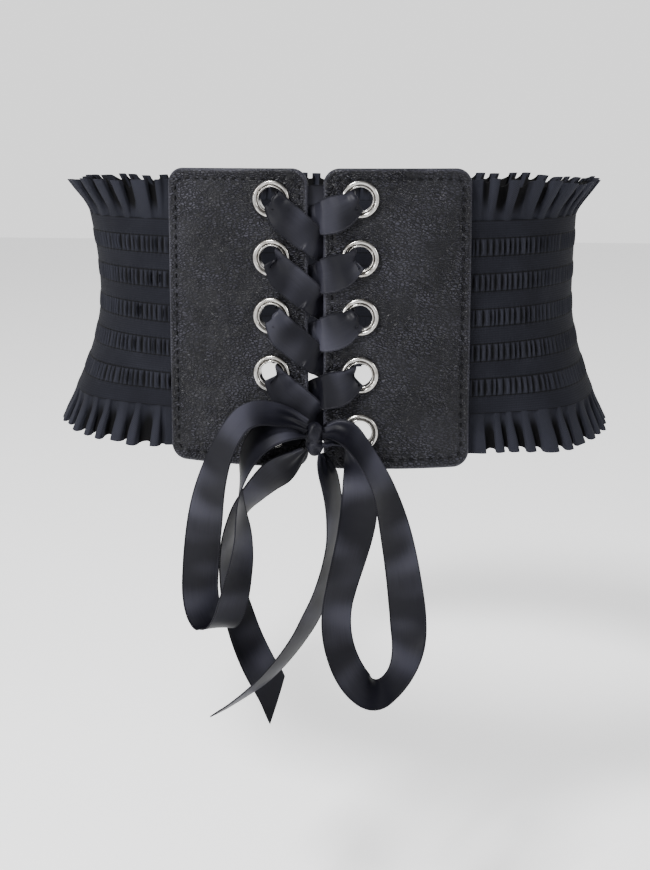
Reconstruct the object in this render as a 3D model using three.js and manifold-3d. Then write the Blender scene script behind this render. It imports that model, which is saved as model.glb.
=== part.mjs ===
// Laced corset belt in millimetres, +Z up, worn upright with its front towards -Y.
// The origin is the middle of the waist hollow, halfway up the belt.
import * as THREE from "three";
import { mergeVertices } from "three/addons/utils/BufferGeometryUtils.js";
import Module from "manifold-3d";

const wasm = await Module();
wasm.setup();

// Waist hollow, a rounded oval
const WAIST_HALF_WIDTH = 131.5;
const WAIST_HALF_DEPTH = 98.5;
const WAIST_SQUARENESS = 2.4;
const WAIST_LINE_HEIGHT = 4;

// How far the elastic stands out from the waist oval at its two seams
const TOP_FLARE_LEFT = 5;
const TOP_FLARE_RIGHT = 1.5;
const BOTTOM_FLARE_LEFT = 14;
const BOTTOM_FLARE_RIGHT = 12.5;
const FLARE_REACH = 60;

// Leather panels
const PANEL_HEIGHT = 149;
const PANEL_WIDTH = 71.6;
const PANEL_WALL = 2.4;
const PANEL_CORNER_RADIUS = 8;
const PANEL_STAND_OFF = 3;
const RIM_WIDTH = 3;
const RIM_RISE = 0.5;
const FRONT_GAP = 7.4;

// Eyelets
const EYELET_COUNT = 5;
const EYELET_PITCH = 28.8;
const EYELET_RAISE = 2;
const EYELET_INSET = 17.8;
const EYELET_HOLE = 11.8;
const EYELET_OUTER = 18.6;
const EYELET_BACK_OUTER = 17.2;
const EYELET_METAL = 0.8;
const EYELET_RISE = 1.4;
const EYELET_SIDES = 14;

// Elastic band and ruffles
const BAND_HEIGHT = 97;
const BAND_WALL = 1.6;
const BAND_STAND_OFF = 1;
const BAND_TUCK = 10;
const TAPE_ROWS = 6;
const GATHER_RISE = 1.7;
const GATHER_DIP = 0.4;
const GATHER_PITCH = 18;
const RUFFLE_HEIGHT = 20.5;
const RUFFLE_WALL = 1.5;
const RUFFLE_LEAN_FRONT = 3;
const UPPER_LEAN_SIDE = 9;
const LOWER_LEAN_SIDE = 5.5;
const PLEAT_PITCH = 10;
const PLEAT_DEPTH = 2.8;

// Satin ribbon
const RIBBON_WIDTH = 18;
const RIBBON_WALL = 1;
const LACE_PINCH = 8.4;
const TAIL_CUT = 16;
const KNOT_MIDDLE = { x: 0.4, y: -112.5, z: -57 };
const KNOT_WIDTH = 9.2;
const KNOT_DEPTH = 9.2;
const KNOT_HEIGHT = 16.8;

const CLEARANCE = 0.3;

const LEATHER = { color: 0x2b2b2e, roughness: 0.5, metalness: 0 };
const ELASTIC = { color: 0x23242b, roughness: 0.85, metalness: 0 };
const SATIN = { color: 0x2a2a33, roughness: 0.35, metalness: 0 };
const METAL = { color: 0xb9b4aa, roughness: 0.3, metalness: 1 };

const panelFront = PANEL_STAND_OFF + PANEL_WALL;
const panelOuterEdge = FRONT_GAP / 2 + PANEL_WIDTH;
const eyeletOffset = FRONT_GAP / 2 + EYELET_INSET;

// The waist oval as a table of places against the distance walked from the front centre
function makeWaistOval(steps = 1440) {
  const radius = (angle) => {
    const across = Math.abs(Math.sin(angle)) / WAIST_HALF_WIDTH;
    const along = Math.abs(Math.cos(angle)) / WAIST_HALF_DEPTH;
    return (across ** WAIST_SQUARENESS + along ** WAIST_SQUARENESS) ** (-1 / WAIST_SQUARENESS);
  };
  const points = [];
  let walked = 0;
  for (let i = 0; i <= steps; i += 1) {
    const angle = (i / steps) * Math.PI * 2;
    const x = radius(angle) * Math.sin(angle);
    const y = -radius(angle) * Math.cos(angle);
    if (i > 0) walked += Math.hypot(x - points[i - 1].x, y - points[i - 1].y);
    points.push({ x, y, walked });
  }
  return points;
}

const oval = makeWaistOval();
const girth = oval[oval.length - 1].walked;

function waistPoint(distance) {
  const target = THREE.MathUtils.euclideanModulo(distance, girth);
  let low = 0;
  let high = oval.length - 1;
  while (high - low > 1) {
    const middle = (low + high) >> 1;
    if (oval[middle].walked <= target) low = middle;
    else high = middle;
  }
  const share = (target - oval[low].walked) / (oval[high].walked - oval[low].walked);
  const x = THREE.MathUtils.lerp(oval[low].x, oval[high].x, share);
  const y = THREE.MathUtils.lerp(oval[low].y, oval[high].y, share);
  const power = WAIST_SQUARENESS - 1;
  const normal = new THREE.Vector2(
    Math.sign(x) * (Math.abs(x) / WAIST_HALF_WIDTH) ** power / WAIST_HALF_WIDTH,
    Math.sign(y) * (Math.abs(y) / WAIST_HALF_DEPTH) ** power / WAIST_HALF_DEPTH,
  ).normalize();
  return { x, y, normal };
}

// Distance round the waist from the nearer panel's outer edge
function pastPanel(distance) {
  const along = THREE.MathUtils.euclideanModulo(distance, girth);
  return Math.min(along, girth - along) - panelOuterEdge;
}

// How far the cloth stands out from the oval at a height, more on the left side than on the right
function flare(distance, height, x) {
  const rising = height > WAIST_LINE_HEIGHT;
  const seam = rising ? BAND_HEIGHT / 2 : -BAND_HEIGHT / 2;
  const share = Math.min((height - WAIST_LINE_HEIGHT) / (seam - WAIST_LINE_HEIGHT), 1) ** 1.8;
  const rightness = THREE.MathUtils.smoothstep(x, -WAIST_HALF_WIDTH, WAIST_HALF_WIDTH);
  const top = THREE.MathUtils.lerp(TOP_FLARE_LEFT, TOP_FLARE_RIGHT, rightness);
  const bottom = THREE.MathUtils.lerp(BOTTOM_FLARE_LEFT, BOTTOM_FLARE_RIGHT, rightness);
  const reach = THREE.MathUtils.smoothstep(pastPanel(distance), 0, FLARE_REACH);
  return reach * share * (rising ? top : bottom);
}

// A place on the belt: distance round the waist, distance out from the oval, height
function place(distance, out, height) {
  const { x, y, normal } = waistPoint(distance);
  const stand = out + flare(distance, height, x);
  return new THREE.Vector3(x + normal.x * stand, y + normal.y * stand, height);
}

// A closed body through rings of equal count; flat holds the ring's outline for the two end caps.
// Each ring runs up one face of a wall and back down the other. Both faces are split along the same
// diagonals, so that a thin wall that twists doesn't cross itself.
function loft(rings, flat) {
  const count = rings[0].length;
  const positions = rings.flat().flatMap((point) => point.toArray());
  const index = [];
  for (let i = 0; i < rings.length - 1; i += 1) {
    for (let j = 0; j < count; j += 1) {
      const a = i * count + j;
      const b = i * count + ((j + 1) % count);
      if (j < count / 2) index.push(a, b, b + count, a, b + count, a + count);
      else index.push(a, b, a + count, b, b + count, a + count);
    }
  }
  const last = (rings.length - 1) * count;
  const turned = THREE.ShapeUtils.isClockWise(flat);
  for (const [a, b, c] of THREE.ShapeUtils.triangulateShape(flat, [])) {
    if (turned) index.push(a, b, c, last + a, last + c, last + b);
    else index.push(a, c, b, last + a, last + b, last + c);
  }
  const geometry = new THREE.BufferGeometry();
  geometry.setAttribute("position", new THREE.Float32BufferAttribute(positions, 3));
  geometry.setIndex(index);
  return faceOutwards(geometry);
}

function signedVolume(geometry) {
  const position = geometry.attributes.position;
  const index = geometry.index.array;
  const corners = [new THREE.Vector3(), new THREE.Vector3(), new THREE.Vector3()];
  let total = 0;
  for (let i = 0; i < index.length; i += 3) {
    corners.forEach((corner, k) => corner.fromBufferAttribute(position, index[i + k]));
    total += corners[0].dot(corners[1].clone().cross(corners[2])) / 6;
  }
  return total;
}

function faceOutwards(geometry) {
  if (signedVolume(geometry) < 0) {
    const index = geometry.index.array;
    for (let i = 0; i < index.length; i += 3) {
      [index[i + 1], index[i + 2]] = [index[i + 2], index[i + 1]];
    }
  }
  return geometry;
}

function toSolid(geometry) {
  const bare = geometry.clone();
  bare.deleteAttribute("normal");
  bare.deleteAttribute("uv");
  const merged = mergeVertices(bare, 1e-4);
  const vertProperties = Float32Array.from(merged.attributes.position.array);
  const triVerts = Uint32Array.from(merged.index.array);
  return new wasm.Manifold(new wasm.Mesh({ numProp: 3, vertProperties, triVerts }));
}

function fromSolid(solid) {
  const mesh = solid.getMesh();
  const geometry = new THREE.BufferGeometry();
  geometry.setAttribute("position", new THREE.Float32BufferAttribute(mesh.vertProperties, 3));
  geometry.setIndex(Array.from(mesh.triVerts));
  return geometry;
}

function finish(name, geometry, look) {
  geometry.computeVertexNormals();
  const mesh = new THREE.Mesh(geometry, new THREE.MeshStandardMaterial(look));
  mesh.name = name;
  return mesh;
}

// Centre heights of the eyelets, from the top down
const eyeletHeights = Array.from(
  { length: EYELET_COUNT },
  (_, i) => EYELET_RAISE + ((EYELET_COUNT - 1) / 2 - i) * EYELET_PITCH,
);

// Turns a shape with its axis on +Y to stand on the belt with its axis pointing out
function standOut(geometry, distance, out, height) {
  const { normal } = waistPoint(distance);
  const turn = new THREE.Quaternion().setFromUnitVectors(
    new THREE.Vector3(0, 1, 0),
    new THREE.Vector3(normal.x, normal.y, 0),
  );
  geometry.applyQuaternion(turn);
  const at = place(distance, out, height);
  return geometry.translate(at.x, at.y, at.z);
}

// A panel: a bent plate with rounded corners and a raised rim, cut by its eyelet holes
function makePanel(side) {
  const half = PANEL_HEIGHT / 2;
  const edge = PANEL_WALL / 2;
  const crest = RIM_WIDTH * 0.3;
  const radius = PANEL_CORNER_RADIUS;
  const insets = [0, crest, RIM_WIDTH, radius * 0.65, radius];
  const bays = 7;
  const columns = [...insets];
  for (let i = 1; i < bays; i += 1) columns.push(radius + (i / bays) * (PANEL_WIDTH - 2 * radius));
  columns.push(...insets.map((inset) => PANEL_WIDTH - inset).reverse());

  const front = (inset) => {
    if (inset <= crest) return THREE.MathUtils.lerp(edge, PANEL_WALL + RIM_RISE, inset / crest);
    const fall = Math.min((inset - crest) / (RIM_WIDTH - crest), 1);
    return PANEL_WALL + RIM_RISE * (1 - fall);
  };
  const rings = columns.map((across) => {
    const inset = Math.min(across, PANEL_WIDTH - across);
    const drop = inset < radius ? radius - Math.sqrt(radius ** 2 - (radius - inset) ** 2) : 0;
    const top = half - drop;
    const distance = side * (FRONT_GAP / 2 + across);
    const profile = [[0, top], [front(0), top]];
    for (const step of [crest, RIM_WIDTH]) profile.push([front(Math.min(step, inset)), top - step]);
    const below = profile.map(([out, height]) => [out, -height]).reverse();
    return [...profile, ...below].map(([out, height]) => place(distance, PANEL_STAND_OFF + out, height));
  });
  const flat = [
    [0, 4], [1, 4], [2, 3], [2.5, 2], [2.5, -2], [2, -3], [1, -4], [0, -4],
  ].map(([x, y]) => new THREE.Vector2(x, y));

  let plate = toSolid(loft(rings, flat));
  const cutRadius = (EYELET_HOLE / 2 + EYELET_METAL + CLEARANCE) / Math.cos(Math.PI / EYELET_SIDES);
  for (const height of eyeletHeights) {
    const drill = new THREE.CylinderGeometry(cutRadius, cutRadius, PANEL_WALL * 4, EYELET_SIDES);
    const middle = PANEL_STAND_OFF + PANEL_WALL / 2;
    plate = plate.subtract(toSolid(standOut(drill, side * eyeletOffset, middle, height)));
  }
  return fromSolid(plate);
}

// An eyelet: one ring with a barrel, a rolled front flange and a flat back flange
function makeEyelet(side, height) {
  const hole = EYELET_HOLE / 2;
  const barrel = hole + EYELET_METAL;
  const outer = EYELET_OUTER / 2;
  const back = -CLEARANCE * 1.5;
  const front = PANEL_WALL + CLEARANCE;
  const top = front + EYELET_RISE;
  const profile = [
    [hole, back - EYELET_METAL * 0.7],
    [EYELET_BACK_OUTER / 2, back - EYELET_METAL * 0.7],
    [EYELET_BACK_OUTER / 2, back],
    [barrel, back],
    [barrel, front],
    [outer, front],
    [(hole + outer) / 2, top],
    [hole, top - EYELET_RISE * 0.5],
  ].map(([x, y]) => new THREE.Vector2(x, y));
  profile.push(profile[0].clone());
  const ring = new THREE.LatheGeometry(profile, EYELET_SIDES);
  ring.deleteAttribute("normal");
  ring.deleteAttribute("uv");
  const closed = faceOutwards(mergeVertices(ring, 1e-4));
  return standOut(closed, side * eyeletOffset, PANEL_STAND_OFF, height);
}

// The cross section of a wall, bowed so that no three of its corners are in line
function wallOutline(outerShares, innerShares) {
  const bow = (share) => share * (1 - share);
  return [
    ...outerShares.map((share) => new THREE.Vector2(1 + bow(share), share)),
    ...innerShares.map((share) => new THREE.Vector2(bow(share), share)),
  ];
}

// The elastic band: flat tapes with gathered rows between them, tucked behind both panels.
// One modelled gather stands for about six of the real, finer ones.
function makeBand() {
  const start = panelOuterEdge - BAND_TUCK;
  const length = girth - 2 * start;
  const columns = Math.round(length / GATHER_PITCH) * 2;
  const rows = TAPE_ROWS * 2 - 1;
  const outer = [];
  for (let row = 0; row <= rows; row += 1) {
    outer.push({ share: row / rows, gathered: false });
    if (row % 2 === 1 && row < rows) outer.push({ share: (row + 0.5) / rows, gathered: true });
  }
  const innerSteps = 5;
  const height = (share) => (share - 0.5) * BAND_HEIGHT;
  const rings = [];
  for (let i = 0; i <= columns; i += 1) {
    const distance = start + (i / columns) * length;
    const open = THREE.MathUtils.smoothstep(pastPanel(distance), GATHER_PITCH / 2, GATHER_PITCH * 1.5);
    const wave = i % 2 === 1 ? GATHER_RISE : -GATHER_DIP;
    const ring = outer.map(({ share, gathered }) => {
      const rise = gathered ? wave * open : 0;
      return place(distance, BAND_STAND_OFF + BAND_WALL + rise, height(share));
    });
    for (let k = innerSteps; k >= 0; k -= 1) {
      ring.push(place(distance, BAND_STAND_OFF, height(k / innerSteps)));
    }
    rings.push(ring);
  }
  const inner = Array.from({ length: innerSteps + 1 }, (_, k) => 1 - k / innerSteps);
  return loft(rings, wallOutline(outer.map(({ share }) => share), inner));
}

// A ruffle: pleated cloth that rises (up = 1) or falls (up = -1) from a seam and leans outwards
function makeRuffle(up) {
  const start = panelOuterEdge - BAND_TUCK;
  const length = girth - 2 * start;
  const columns = Math.round(length / PLEAT_PITCH) * 2;
  const seam = BAND_HEIGHT / 2 + CLEARANCE;
  const levels = [0, 0.45, 1];
  const rings = [];
  for (let i = 0; i <= columns; i += 1) {
    const distance = start + (i / columns) * length;
    const past = pastPanel(distance);
    const open = THREE.MathUtils.smoothstep(past, PLEAT_PITCH / 2, PLEAT_PITCH * 1.5);
    const sideways = THREE.MathUtils.smoothstep(past, 0, FLARE_REACH);
    const sideLean = up > 0 ? UPPER_LEAN_SIDE : LOWER_LEAN_SIDE;
    const lean = open * THREE.MathUtils.lerp(RUFFLE_LEAN_FRONT, sideLean, sideways);
    const rise = Math.sqrt(RUFFLE_HEIGHT ** 2 - lean ** 2);
    const unevenness = 1 + 0.25 * Math.sin(i * 1.2);
    const wave = (i % 2 === 1 ? 1 : -0.6) * PLEAT_DEPTH * open * unevenness;
    const at = (level, wall) => {
      const out = BAND_STAND_OFF + wall + wave * (0.15 + 0.85 * level) + lean * level ** 1.4;
      return place(distance, out, up * (seam + rise * level));
    };
    rings.push([
      ...levels.map((level) => at(level, RUFFLE_WALL)),
      ...[...levels].reverse().map((level) => at(level, 0)),
    ]);
  }
  return loft(rings, wallOutline(levels, [...levels].reverse()));
}

// A ribbon through sections that each give one point on either edge
function makeRibbon(sections) {
  const middles = sections.map(({ a, b }) => a.clone().add(b).multiplyScalar(0.5));
  const rings = sections.map(({ a, b }, i) => {
    const before = middles[Math.max(i - 1, 0)];
    const after = middles[Math.min(i + 1, middles.length - 1)];
    const along = after.clone().sub(before).normalize();
    const face = along.cross(b.clone().sub(a)).setLength(RIBBON_WALL / 2);
    return [a.clone().add(face), b.clone().add(face), b.clone().sub(face), a.clone().sub(face)];
  });
  const flat = [[0, 1], [1, 1], [1, 0], [0, 0]].map(([x, y]) => new THREE.Vector2(x, y));
  return loft(rings, flat);
}

// How far the lace stands out: 0 behind a panel, 1 over a panel's rim, 2 over an eyelet
function laceOut(level) {
  const behind = PANEL_STAND_OFF - CLEARANCE * 2.5 - EYELET_METAL * 0.7 - RIBBON_WALL / 2;
  const over = panelFront + RIM_RISE + CLEARANCE + RIBBON_WALL / 2;
  const high = panelFront + CLEARANCE * 2 + EYELET_RISE + RIBBON_WALL / 2;
  if (level <= 1) return THREE.MathUtils.lerp(behind, over, level);
  return THREE.MathUtils.lerp(over, high, level - 1);
}

const pinch = LACE_PINCH / 2 / EYELET_PITCH;

// A lacing strand from its own eyelet to the next one down on the other side. across is a share of
// the eyelet's distance from the middle, top and bottom are drops as shares of the eyelet pitch.
const OVER_STRAND = [
  { across: -0.84, top: -pinch, bottom: pinch, level: 2 },
  { across: -0.69, top: -0.12, bottom: 0.42, level: 2 },
  { across: -0.52, top: 0.04, bottom: 0.68, level: 1.3 },
  { across: -0.38, top: 0.18, bottom: 0.8, level: 1 },
  { across: -0.2, top: 0.36, bottom: 0.91, level: 1 },
  { across: -0.1, top: 0.46, bottom: 0.96, level: 0.92 },
  { across: -0.02, top: 0.55, bottom: 1, level: 0.72 },
  { across: 0.05, top: 0.62, bottom: 1.03, level: 0.42 },
  { across: 0.12, top: 0.68, bottom: 1.07, level: 0.16 },
  { across: 0.22, top: 0.73, bottom: 1.1, level: 0.02 },
  { across: 0.55, top: 0.82, bottom: 1.13, level: 0 },
  { across: 0.84, top: 1 - pinch, bottom: 1 + pinch, level: 0 },
];

const UNDER_STRAND = [
  { across: -0.84, top: -pinch, bottom: pinch, level: 2 },
  { across: -0.69, top: -0.1, bottom: 0.36, level: 2 },
  { across: -0.52, top: -0.06, bottom: 0.48, level: 1.3 },
  { across: -0.38, top: -0.03, bottom: 0.53, level: 1 },
  { across: -0.22, top: 0.005, bottom: 0.56, level: 1 },
  { across: -0.15, top: 0.025, bottom: 0.565, level: 0.87 },
  { across: -0.09, top: 0.05, bottom: 0.57, level: 0.62 },
  { across: -0.03, top: 0.08, bottom: 0.585, level: 0.38 },
  { across: 0.04, top: 0.115, bottom: 0.61, level: 0.22 },
  { across: 0.11, top: 0.16, bottom: 0.655, level: 0.1 },
  { across: 0.22, top: 0.23, bottom: 0.75, level: 0.02 },
  { across: 0.55, top: 0.6, bottom: 0.98, level: 0 },
  { across: 0.84, top: 1 - pinch, bottom: 1 + pinch, level: 0 },
];

// The straight bar behind both top eyelets, and the short run from a bottom eyelet to the knot
const TOP_BAR = [
  { across: -0.84, top: -pinch, bottom: pinch, level: 0 },
  { across: -0.5, top: -0.2, bottom: 0.13, level: 0 },
  { across: -0.2, top: -0.235, bottom: 0.12, level: 0 },
  { across: 0.2, top: -0.235, bottom: 0.12, level: 0 },
  { across: 0.5, top: -0.2, bottom: 0.13, level: 0 },
  { across: 0.84, top: -pinch, bottom: pinch, level: 0 },
];

const LAST_RUN = [
  { across: -0.84, top: -pinch, bottom: pinch, level: 2 },
  { across: -0.69, top: -0.2, bottom: 0.24, level: 2 },
  { across: -0.5, top: -0.24, bottom: 0.24, level: 1.9 },
  { across: -0.34, top: -0.19, bottom: 0.15, level: 2.6 },
  { across: -0.235, top: -0.1, bottom: 0.14, level: 3.1 },
  { across: -0.11, top: -0.06, bottom: 0.11, level: 3.25 },
];

// The turn through an eyelet's hole, from behind the panel to its front
const HOLE_TURN = [
  { across: 0.885, level: 0.35 },
  { across: 0.885, level: 1.4 },
];

function laceSection(side, height, { across, top, bottom, level }) {
  const distance = side * across * eyeletOffset;
  const out = laceOut(level);
  return {
    a: place(distance, out, height - top * EYELET_PITCH),
    b: place(distance, out, height - bottom * EYELET_PITCH),
  };
}

// The whole lace in one run: from the knot up one zigzag, behind the top, and down the other
function makeLace() {
  const zigzag = (firstSide) => {
    const sections = [];
    eyeletHeights.forEach((height, i) => {
      const side = i % 2 === 0 ? firstSide : -firstSide;
      for (const turn of HOLE_TURN) {
        const row = { across: -turn.across, top: -pinch, bottom: pinch, level: turn.level };
        sections.push(laceSection(-side, height, row));
      }
      const strand = side < 0 ? OVER_STRAND : UNDER_STRAND;
      const rows = i < EYELET_COUNT - 1 ? strand : LAST_RUN;
      for (const row of rows) sections.push(laceSection(-side, height, row));
    });
    return sections;
  };
  const bar = TOP_BAR.map((row) => laceSection(1, eyeletHeights[0], row));
  return makeRibbon([...zigzag(-1).reverse(), ...bar, ...zigzag(1)]);
}

// The bow hangs free. Each row is a chosen place on a ribbon's middle line. lean is the direction
// of its width in the front view, turn swings that width out of the front view, both in degrees,
// and width is a share of the full ribbon.
const LEFT_LOOP = [
  { x: -3.2, y: -113, z: -50.5, lean: -90, turn: -60, width: 0.5 },
  { x: -10.5, y: -116, z: -46, lean: -88, turn: -60, width: 0.7 },
  { x: -18, y: -119.5, z: -43.3, lean: -86, turn: -62, width: 0.9 },
  { x: -26, y: -122.5, z: -42.3, lean: -78, turn: -62, width: 1 },
  { x: -33, y: -124.5, z: -45, lean: -58, turn: -56, width: 1 },
  { x: -38.5, y: -125.5, z: -52, lean: -46, turn: -50, width: 1 },
  { x: -43.5, y: -125.5, z: -62, lean: -34, turn: -44, width: 1 },
  { x: -47.3, y: -124.8, z: -73, lean: -20, turn: -35, width: 1 },
  { x: -50.2, y: -123.5, z: -84, lean: -11, turn: -23, width: 1 },
  { x: -52.3, y: -122, z: -95, lean: -7, turn: -10, width: 1 },
  { x: -54.2, y: -120.3, z: -108, lean: -4, turn: 0, width: 1 },
  { x: -55.7, y: -118.5, z: -122, lean: -2, turn: 6, width: 1 },
  { x: -56.3, y: -117.5, z: -135, lean: -4, turn: 14, width: 1 },
  { x: -54.5, y: -118, z: -145, lean: -8, turn: 26, width: 1 },
  { x: -50, y: -121, z: -151, lean: -14, turn: 36, width: 1 },
  { x: -44.5, y: -126, z: -149.5, lean: -14, turn: 40, width: 1 },
  { x: -40, y: -129.3, z: -142.5, lean: -8, turn: 42, width: 1 },
  { x: -37, y: -130.3, z: -133, lean: 2, turn: 44, width: 1 },
  { x: -34.8, y: -130, z: -123, lean: 5, turn: 52, width: 1 },
  { x: -33.2, y: -128.5, z: -113, lean: 3, turn: 62, width: 1 },
  { x: -32.8, y: -127, z: -102, lean: 2, turn: 74, width: 1 },
  { x: -34, y: -125.8, z: -91, lean: 2, turn: 86, width: 1 },
  { x: -34.2, y: -125, z: -80, lean: 0, turn: 97, width: 1 },
  { x: -32.5, y: -125, z: -69, lean: -4, turn: 114, width: 1 },
  { x: -28.5, y: -124.8, z: -59.5, lean: -14, turn: 128, width: 1 },
  { x: -22.3, y: -123.5, z: -53, lean: -34, turn: 134, width: 1 },
  { x: -15, y: -120.5, z: -50, lean: -58, turn: 130, width: 0.95 },
  { x: -9, y: -117, z: -51, lean: -78, turn: 118, width: 0.75 },
  { x: -4.4, y: -114, z: -53.2, lean: -88, turn: 108, width: 0.5 },
];

const RIGHT_LOOP = [
  { x: 5.2, y: -113, z: -53, lean: -90, turn: -62, width: 0.5 },
  { x: 11.5, y: -115.8, z: -51, lean: -92, turn: -62, width: 0.75 },
  { x: 17.5, y: -118.8, z: -52.8, lean: -102, turn: -64, width: 0.95 },
  { x: 23, y: -120.8, z: -58, lean: -128, turn: -68, width: 1 },
  { x: 28.5, y: -121.8, z: -65.8, lean: -142, turn: -68, width: 1 },
  { x: 33.7, y: -121.8, z: -76, lean: -154, turn: -63, width: 1 },
  { x: 37.7, y: -121, z: -88.5, lean: -166, turn: -52, width: 1 },
  { x: 40.8, y: -120, z: -101.5, lean: -174, turn: -40, width: 1 },
  { x: 43.3, y: -119, z: -115, lean: -176, turn: -31, width: 1 },
  { x: 45.4, y: -118, z: -130, lean: -174, turn: -20, width: 1 },
  { x: 46.9, y: -117.5, z: -144.5, lean: -176, turn: -2, width: 1 },
  { x: 47, y: -117.6, z: -157, lean: -177, turn: 24, width: 1 },
  { x: 44.8, y: -118.5, z: -167.5, lean: -182, turn: 46, width: 1 },
  { x: 40.8, y: -120, z: -175.5, lean: -200, turn: 62, width: 1 },
  { x: 35.2, y: -122.3, z: -180, lean: -240, turn: 70, width: 1 },
  { x: 29, y: -125, z: -179.5, lean: -290, turn: 62, width: 1 },
  { x: 23.3, y: -127, z: -174.5, lean: -308, turn: 54, width: 1 },
  { x: 18.3, y: -127.5, z: -167, lean: -322, turn: 50, width: 1 },
  { x: 14.6, y: -126.8, z: -158, lean: -335, turn: 49, width: 1 },
  { x: 12.6, y: -125.3, z: -148.5, lean: -345, turn: 46, width: 1 },
  { x: 12.6, y: -123.3, z: -138.5, lean: -353, turn: 42, width: 1 },
  { x: 14.8, y: -121.3, z: -127.5, lean: -358, turn: 36, width: 1 },
  { x: 17.9, y: -119.8, z: -115.5, lean: -358, turn: 27, width: 1 },
  { x: 20.8, y: -119, z: -103.5, lean: -357, turn: 17, width: 1 },
  { x: 22.6, y: -118.5, z: -91.5, lean: -354, turn: 2, width: 1 },
  { x: 22.8, y: -118.2, z: -80, lean: -352, turn: -20, width: 1 },
  { x: 20.6, y: -117.8, z: -69.5, lean: -352, turn: -46, width: 1 },
  { x: 16.4, y: -116.5, z: -61.2, lean: -366, turn: -60, width: 0.9 },
  { x: 10.8, y: -114.8, z: -57.3, lean: -395, turn: -64, width: 0.75 },
  { x: 5.8, y: -113.3, z: -57.5, lean: -412, turn: -66, width: 0.5 },
];

const LEFT_TAIL = [
  { x: -4.6, y: -112.5, z: -62, lean: -72, turn: 62, width: 0.5 },
  { x: -11, y: -112.5, z: -68, lean: -68, turn: 40, width: 0.85 },
  { x: -17.5, y: -112, z: -74, lean: -62, turn: 30, width: 1 },
  { x: -24.8, y: -110, z: -81, lean: -63, turn: 40, width: 1 },
  { x: -31.5, y: -108, z: -88.5, lean: -66, turn: 50, width: 1 },
  { x: -37.3, y: -106.5, z: -96, lean: -66, turn: 59, width: 1 },
  { x: -41.8, y: -105.5, z: -105, lean: -58, turn: 68, width: 1 },
  { x: -44.5, y: -104.5, z: -114.5, lean: -25, turn: 76, width: 1 },
  { x: -45, y: -103.5, z: -124, lean: 4, turn: 73, width: 1 },
  { x: -44, y: -102.5, z: -134, lean: 10, turn: 66, width: 1 },
  { x: -42, y: -102, z: -144.5, lean: 12, turn: 57, width: 1 },
  { x: -39, y: -102, z: -155.5, lean: 10, turn: 49, width: 1 },
  { x: -35, y: -102.5, z: -167, lean: 14, turn: 44, width: 1 },
  { x: -29.5, y: -103, z: -179, lean: 24, turn: 39, width: 1 },
  { x: -24, y: -103.5, z: -188.5, lean: 32, turn: 38, width: 1 },
  { x: -20.5, y: -104, z: -195.5, lean: 36, turn: 38, width: 1 },
];

const RIGHT_TAIL = [
  { x: 3.6, y: -112.5, z: -64.2, lean: -60, turn: 60, width: 0.5 },
  { x: 5.6, y: -114, z: -69, lean: -20, turn: 68, width: 0.75 },
  { x: 8, y: -115.8, z: -76, lean: 5, turn: 76, width: 1 },
  { x: 9.8, y: -116, z: -85, lean: 8, turn: 77, width: 1 },
  { x: 10.6, y: -115, z: -95, lean: 2, turn: 77, width: 1 },
  { x: 10.2, y: -113, z: -106, lean: -8, turn: 78, width: 1 },
  { x: 8.4, y: -111.5, z: -117, lean: -10, turn: 77, width: 1 },
  { x: 6, y: -111, z: -127.5, lean: -20, turn: 74, width: 1 },
  { x: 3, y: -111.5, z: -137.5, lean: -30, turn: 70, width: 1 },
  { x: -1, y: -113, z: -147, lean: -20, turn: 67, width: 1 },
  { x: -6, y: -115.5, z: -156, lean: -10, turn: 68, width: 1 },
  { x: -12.5, y: -118.5, z: -165, lean: -14, turn: 69, width: 1 },
  { x: -19.5, y: -121, z: -173, lean: -20, turn: 69, width: 1 },
  { x: -26.5, y: -123, z: -179.5, lean: -26, turn: 70, width: 1 },
  { x: -33.5, y: -124.5, z: -185, lean: -28, turn: 72, width: 1 },
  { x: -39.5, y: -125.5, z: -189, lean: -30, turn: 74, width: 1 },
];

// A free ribbon along its chosen places. cut slants its last end: the first edge is lengthened by
// more than the second is shortened, so that the slanted end stays clear of the row before it.
function makeFreeRibbon(route, cut = 0) {
  const centres = route.map(({ x, y, z }) => new THREE.Vector3(x, y, z));
  const sections = route.map(({ lean, turn, width }, i) => {
    const before = centres[Math.max(i - 1, 0)];
    const after = centres[Math.min(i + 1, centres.length - 1)];
    const along = after.clone().sub(before).normalize();
    const flatTurn = THREE.MathUtils.degToRad(turn);
    const flatLean = THREE.MathUtils.degToRad(lean);
    const across = new THREE.Vector3(
      Math.cos(flatTurn) * Math.cos(flatLean),
      Math.sin(flatTurn),
      Math.cos(flatTurn) * Math.sin(flatLean),
    );
    across.addScaledVector(along, -across.dot(along));
    across.setLength((RIBBON_WIDTH / 2) * width);
    const slant = i === route.length - 1 ? cut : 0;
    return {
      a: centres[i].clone().sub(across).addScaledVector(along, slant * 0.65),
      b: centres[i].clone().add(across).addScaledVector(along, -slant * 0.35),
    };
  });
  return makeRibbon(sections);
}

// The knot, a small upright lump in front of the bottom of the lacing
function makeKnot() {
  const lump = new THREE.SphereGeometry(0.5, 12, 8);
  lump.rotateX(Math.PI / 2);
  lump.deleteAttribute("normal");
  lump.deleteAttribute("uv");
  const knot = mergeVertices(lump, 1e-4);
  knot.scale(KNOT_WIDTH, KNOT_DEPTH, KNOT_HEIGHT);
  return faceOutwards(knot.translate(KNOT_MIDDLE.x, KNOT_MIDDLE.y, KNOT_MIDDLE.z));
}

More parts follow.
